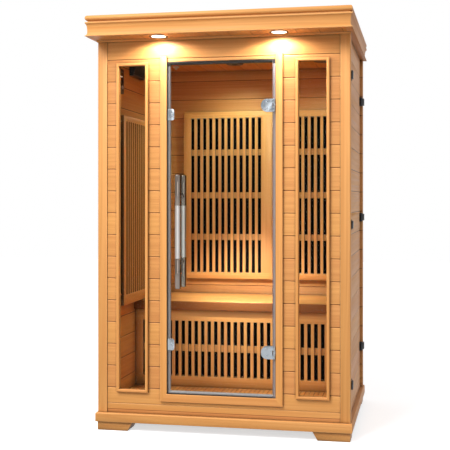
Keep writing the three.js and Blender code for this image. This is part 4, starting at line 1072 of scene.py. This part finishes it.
class SAUNA_OT_clasps(SaunaOperator):
    """Finishes the clasp levers and adds the black brackets and keepers they work with"""

    bl_idname = "sauna.clasps"
    bl_label = "Clasps"

    def execute(self, context):
        settings = hardware_settings()
        black = moulded("black clasp paint", settings.black, 0.42, 1400.0, 0.4)
        bm = bmesh.new()
        for side, sign in (("right", 1), ("left", -1)):
            for row, towards in (("front", -1), ("back", 1)):
                for level in ("lower", "middle", "upper"):
                    node = f"clasp_{side}_{row}_{level}"
                    dressed(node, black, FINE_EASE)
                    self.bracket(bm, node, sign, towards)
        bevelled(new_piece("clasp_brackets", bm, black, "cabin"), CRISP_EASE)
        return {"FINISHED"}

    def bracket(self, bm, node, sign, towards):
        """The ears, base plate, screws and keeper of one clasp, placed from its joint."""
        joint = next(joint for joint in frame["joints"] if joint["child"] == node)
        pivot = Vector(joint["pos_m"])
        low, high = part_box(node)
        half = (high.z - low.z) / 2

        def place(u, v, z):
            return pivot + Vector((sign * v, towards * u, z))

        wall = -CLASP_PIVOT_HEIGHT
        seat = wall + CLASP_PLATE
        crown = arc(0, 0, CLASP_EAR_RADIUS, 0, 180, CLASP_EAR_STEPS)
        ear = [(-CLASP_EAR_RADIUS, wall), (CLASP_EAR_RADIUS, wall), *crown]
        for start in (half + CLASP_EAR_GAP, -half - CLASP_EAR_GAP - CLASP_EAR):
            prism(bm, ear, start, start + CLASP_EAR, place)
        base = box_outline(-CLASP_PLATE_END, -CLASP_EAR_RADIUS, wall, seat)
        prism(bm, base, -half - CLASP_PLATE_LAP, half + CLASP_PLATE_LAP, place)
        for z in (-SCREW_SPREAD * half, SCREW_SPREAD * half):
            turned(bm, in_metres(SCREW_PROFILE), SCREW_STEPS,
                   lambda a, b, height, z=z: place(a - SCREW_FROM_PIVOT, seat + height, z + b))
        keeper = box_outline(KEEPER_START, KEEPER_END, KEEPER_LOW, KEEPER_HIGH)
        prism(bm, keeper, -half - KEEPER_LAP, half + KEEPER_LAP, place)


class SAUNA_OT_controls(SaunaOperator):
    """Finishes the control panel and its buttons, and adds the display and the speaker cloth"""

    bl_idname = "sauna.controls"
    bl_label = "Controls and speaker"

    def execute(self, context):
        settings = hardware_settings()
        plastic = moulded("black plastic", settings.black, 0.4)
        dressed("control_panel", plastic, PANEL_EASE)
        dressed("speaker", plastic, SPEAKER_EASE)
        key = moulded("key plastic", KEY_COLOUR, 0.45)
        for node in ("button_down", "button_power", "button_up"):
            dressed(node, key, FINE_EASE)
        self.display()
        self.speaker_cloth()
        return {"FINISHED"}

    def display(self):
        """A dark window with a row of small indicator lights."""
        low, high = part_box("control_panel")
        middle = (low.y + high.y) / 2
        bottom = low.z + DISPLAY_RISE
        glass = moulded("display window", DISPLAY_COLOUR, 0.16, 300.0)
        bm = bmesh.new()
        window = box_outline(middle - DISPLAY_HALF, middle + DISPLAY_HALF, bottom, bottom + DISPLAY_HEIGHT)
        prism(bm, window, high.x - DISPLAY_BACK, high.x - DISPLAY_FACE, along_x)
        bevelled(new_piece("control_display", bm, glass, "cabin"), CRISP_EASE)
        glow = lit_lens("indicator glow", INDICATOR_GLOW)
        bm = bmesh.new()
        last = 360 - 360 / INDICATOR_SIDES
        for i in range(INDICATORS):
            y = middle + (i - (INDICATORS - 1) / 2) * INDICATOR_PITCH
            lamp = arc(y, bottom + DISPLAY_HEIGHT / 2, INDICATOR_RADIUS, 0, last, INDICATOR_SIDES - 1)
            prism(bm, lamp, high.x - INDICATOR_BACK, high.x - INDICATOR_FACE, along_x)
        new_piece("control_indicators", bm, glow, "cabin")

    def speaker_cloth(self):
        """Perforated cloth stretched over the speaker's slanted face."""
        low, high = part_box("speaker")
        top = Vector((high.x, 0, high.z - SPEAKER_LIP))
        bottom = Vector((low.x + SPEAKER_FOOT, 0, low.z))
        along = (top - bottom).normalized()
        out = Vector((along.z, 0, -along.x))
        end = (top - bottom).length - CLOTH_MARGIN
        bm = bmesh.new()
        outline = box_outline(low.y + CLOTH_MARGIN, high.y - CLOTH_MARGIN, CLOTH_MARGIN, end)

        def place(a, b, depth):
            return bottom + along * b + out * depth + Vector((0, a, 0))

        prism(bm, outline, -CLOTH_BACK, CLOTH_FACE, place)
        graph = Graph("speaker cloth")
        x, y, z = graph.coordinates()
        weave = graph.weave(y, graph.math("ADD", x, z), CLOTH_WEAVE)
        colour = graph.mix(graph.spread(weave, -1.0, 1.0), *CLOTH_COLOURS)
        graph.surface(colour, 0.8, 0.0, graph.bump(weave, 0.4, 0.0005))
        bevelled(new_piece("speaker_cloth", bm, graph.material, "cabin"), CLOTH_EASE)


class SAUNA_OT_lights(SaunaOperator):
    """Makes the soffit and ceiling lights with lit lenses and their lamps"""

    bl_idname = "sauna.lights"
    bl_label = "Cabin lights"

    def execute(self, context):
        settings = context.scene.sauna_light
        bezel = metal("lamp bezel", hardware_settings().chrome, 0.15, 0.28)
        dark = moulded("dark lamp ring", CEILING_RING_COLOUR, 0.35)
        lens = lit_lens("lit lens", settings.lens)
        for side in SIDES:
            node = f"downlight_{side}"
            self.fitting(node, bezel, lens, "lens", DOWNLIGHT_LENS, DOWNLIGHT_PROUD)
            self.lamp(node, settings.down_power, settings.down_colour, DOWNLIGHT_BEAM)
        for place, share in CEILING_SHARES.items():
            node = f"ceiling_light_{place}"
            self.fitting(node, dark, lens, "black_plastic", CEILING_LENS, CEILING_PROUD)
            self.lamp(node, share * settings.ceiling_power, settings.ceiling_colour, CEILING_BEAM)
        glow = self.lamp("ceiling_light_middle", settings.bench_power, settings.down_colour, BENCH_BEAM)
        glow.name = "bench_lamp"
        glow.location = BENCH_LAMP
        low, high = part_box("bench_seat")
        aim = Vector((0, (low.y + high.y) / 2, high.z)) - glow.location
        glow.rotation_euler = aim.to_track_quat("-Z", "Y").to_euler()
        return {"FINISHED"}

    def fitting(self, node, ring_finish, lens_finish, slot, lens_radius, proud):
        """A bezel ring with a domed lens inside it."""
        steps = hardware_settings().round_steps
        low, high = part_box(node)
        middle = (low + high) / 2
        radius = (high.x - low.x) / 2
        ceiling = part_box("roof_cornice")[0].z if node.startswith("down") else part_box("roof_panel")[0].z
        face = ceiling - proud
        seat = face + LENS_RECESS * proud
        neck = BEZEL_NECK * radius

        def place(a, b, height):
            return Vector((middle.x + a, middle.y + b, height))

        ring = [
            (0, high.z), (neck, high.z), (neck, ceiling), (radius, ceiling),
            (radius, ceiling - BEZEL_RIM * proud), (radius - BEZEL_SLOPE * proud, face),
            (lens_radius + LENS_LIP, face), (lens_radius, seat), (0, seat),
        ]
        bm = bmesh.new()
        turned(bm, ring, steps, place)
        bevelled(new_piece(f"{node}_bezel", bm, ring_finish, "cabin", [node]), FINE_EASE)
        rim = lens_radius - LENS_GAP
        sag = LENS_SAG * proud
        dome = [(0, seat + LENS_THICKNESS), (rim, seat + LENS_THICKNESS)]
        for i in range(LENS_STEPS):
            turn = math.pi / 2 * i / LENS_STEPS
            dome.append((rim * math.cos(turn), seat - sag * math.sin(turn)))
        dome.append((0, seat - sag))
        bm = bmesh.new()
        turned(bm, dome, steps, place)
        bevelled(new_piece(f"{node}_lens", bm, lens_finish, "cabin"), SHARP_EASE)

    def lamp(self, node, power, colour, beam):
        """The light that a fitting throws downwards. beam is its angle in degrees and its soft share."""
        low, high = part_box(node)
        data = bpy.data.lights.new(f"{node}_lamp", "SPOT")
        data.energy = power
        data.color = colour
        data.spot_size = math.radians(beam[0])
        data.spot_blend = beam[1]
        data.shadow_soft_size = LAMP_RADIUS
        lamp = linked(data.name, data)
        lamp.location = ((low.x + high.x) / 2, (low.y + high.y) / 2, low.z - LAMP_GAP)
        return lamp


class SAUNA_OT_stage(SaunaOperator):
    """Sets up the floor, the sky, the studio lamps and the camera"""

    bl_idname = "sauna.stage"
    bl_label = "Stage"

    def execute(self, context):
        self.floor()
        self.sky()
        self.lamps()
        self.camera()
        context.scene.view_settings.view_transform = "Standard"
        return {"FINISHED"}

    @staticmethod
    def seen_share(tree):
        """1 for rays from the camera, a gloss or a glass, which see a white surround."""
        path = tree.nodes.new("ShaderNodeLightPath")
        total = path.outputs["Is Camera Ray"]
        for name in ("Is Glossy Ray", "Is Transmission Ray"):
            add = tree.nodes.new("ShaderNodeMath")
            add.operation = "MAXIMUM"
            tree.links.new(total, add.inputs[0])
            tree.links.new(path.outputs[name], add.inputs[1])
            total = add.outputs[0]
        return total

    def floor(self):
        """A wide floor that shows white and throws little light back."""
        mesh = bpy.data.meshes.new("studio_floor")
        outline = box_outline(-FLOOR_HALF, FLOOR_HALF, -FLOOR_HALF, FLOOR_HALF)
        mesh.from_pydata([(x, y, 0) for x, y in outline], [], [(0, 1, 2, 3)])
        graph = Graph("studio floor")
        matte = graph.node("BsdfDiffuse")
        speck = graph.noise(graph.node("TexCoord").outputs["Object"], 3.0)
        seen = self.seen_share(graph.tree)
        graph.feed(matte.inputs["Color"], graph.mix(seen, FLOOR_BOUNCE, graph.mix(speck, *FLOOR_SEEN)))
        lift = graph.fed("Emission", (1, 1, 1, 1), graph.math("MULTIPLY", seen, FLOOR_LIFT))
        both = graph.fed("AddShader", matte.outputs[0], lift.outputs[0])
        graph.feed(graph.output.inputs["Surface"], both.outputs[0])
        mesh.materials.append(graph.material)
        floor = linked("studio_floor", mesh)

    def sky(self):
        """A white surround that lights the cabin evenly."""
        settings = stage_settings()
        world = bpy.data.worlds.new("studio sky")
        world.use_nodes = True
        tree = world.node_tree
        tree.nodes.clear()
        output = tree.nodes.new("ShaderNodeOutputWorld")
        background = tree.nodes.new("ShaderNodeBackground")
        background.inputs["Color"].default_value = (1, 1, 1, 1)
        strength = tree.nodes.new("ShaderNodeMapRange")
        tree.links.new(self.seen_share(tree), strength.inputs["Value"])
        strength.inputs["To Min"].default_value = settings.ambient
        strength.inputs["To Max"].default_value = 1.0
        tree.links.new(strength.outputs[0], background.inputs["Strength"])
        tree.links.new(background.outputs[0], output.inputs["Surface"])
        bpy.context.scene.world = world

    def lamps(self):
        """Square lamps above on the left, on the right and beside the camera."""
        settings = stage_settings()
        for name, place, size, power in (
            ("key_light", KEY_PLACE, SIDE_LAMP_SIZE, settings.key_power),
            ("fill_light", FILL_PLACE, SIDE_LAMP_SIZE, settings.fill_power),
            ("front_light", FRONT_PLACE, FRONT_LAMP_SIZE, settings.front_power),
        ):
            data = bpy.data.lights.new(name, "AREA")
            data.energy = power
            data.size = size
            lamp = linked(name, data)
            lamp.location = place
            aim = Vector(LAMP_AIM) - Vector(place)
            lamp.rotation_euler = aim.to_track_quat("-Z", "Y").to_euler()

    def camera(self):
        """A level camera in front of the cabin, to the right of its middle."""
        settings = stage_settings()
        data = bpy.data.cameras.new("camera")
        data.lens = settings.lens
        data.sensor_width = FILM_WIDTH
        data.shift_y = settings.lens_shift
        camera = linked("camera", data)
        camera.location = settings.camera_place
        camera.rotation_euler = (math.pi / 2, 0, settings.camera_turn)
        bpy.context.scene.camera = camera


OPERATORS = (
    SAUNA_OT_stage, SAUNA_OT_walls, SAUNA_OT_base, SAUNA_OT_trims, SAUNA_OT_roof, SAUNA_OT_grilles,
    SAUNA_OT_glass, SAUNA_OT_door_hardware, SAUNA_OT_clasps, SAUNA_OT_controls, SAUNA_OT_lights,
)
SETTINGS = {
    "sauna_timber": SaunaTimberSettings,
    "sauna_hardware": SaunaHardwareSettings,
    "sauna_light": SaunaLightSettings,
    "sauna_stage": SaunaStageSettings,
}


class SAUNA_PT_looks(bpy.types.Panel):
    """Lists the cabin's settings and operators"""

    bl_idname = "SAUNA_PT_looks"
    bl_label = "Sauna cabin"
    bl_space_type = "VIEW_3D"
    bl_region_type = "UI"
    bl_category = "Sauna"

    def draw(self, context):
        for name in SETTINGS:
            group = getattr(context.scene, name)
            box = self.layout.box()
            for key in group.bl_rna.properties.keys():
                if key not in {"rna_type", "name"}:
                    box.prop(group, key)
        for operator in OPERATORS:
            self.layout.operator(operator.bl_idname)


CLASSES = (*SETTINGS.values(), *OPERATORS, SAUNA_PT_looks)


def register():
    for made in CLASSES:
        bpy.utils.register_class(made)
    for name, group in SETTINGS.items():
        setattr(bpy.types.Scene, name, PointerProperty(type=group))


def unregister():
    for name in SETTINGS:
        delattr(bpy.types.Scene, name)
    for made in reversed(CLASSES):
        bpy.utils.unregister_class(made)


def main():
    register()
    for operator in OPERATORS:
        group, name = operator.bl_idname.split(".")
        getattr(getattr(bpy.ops, group), name)()


if __name__ == "__main__":
    main()
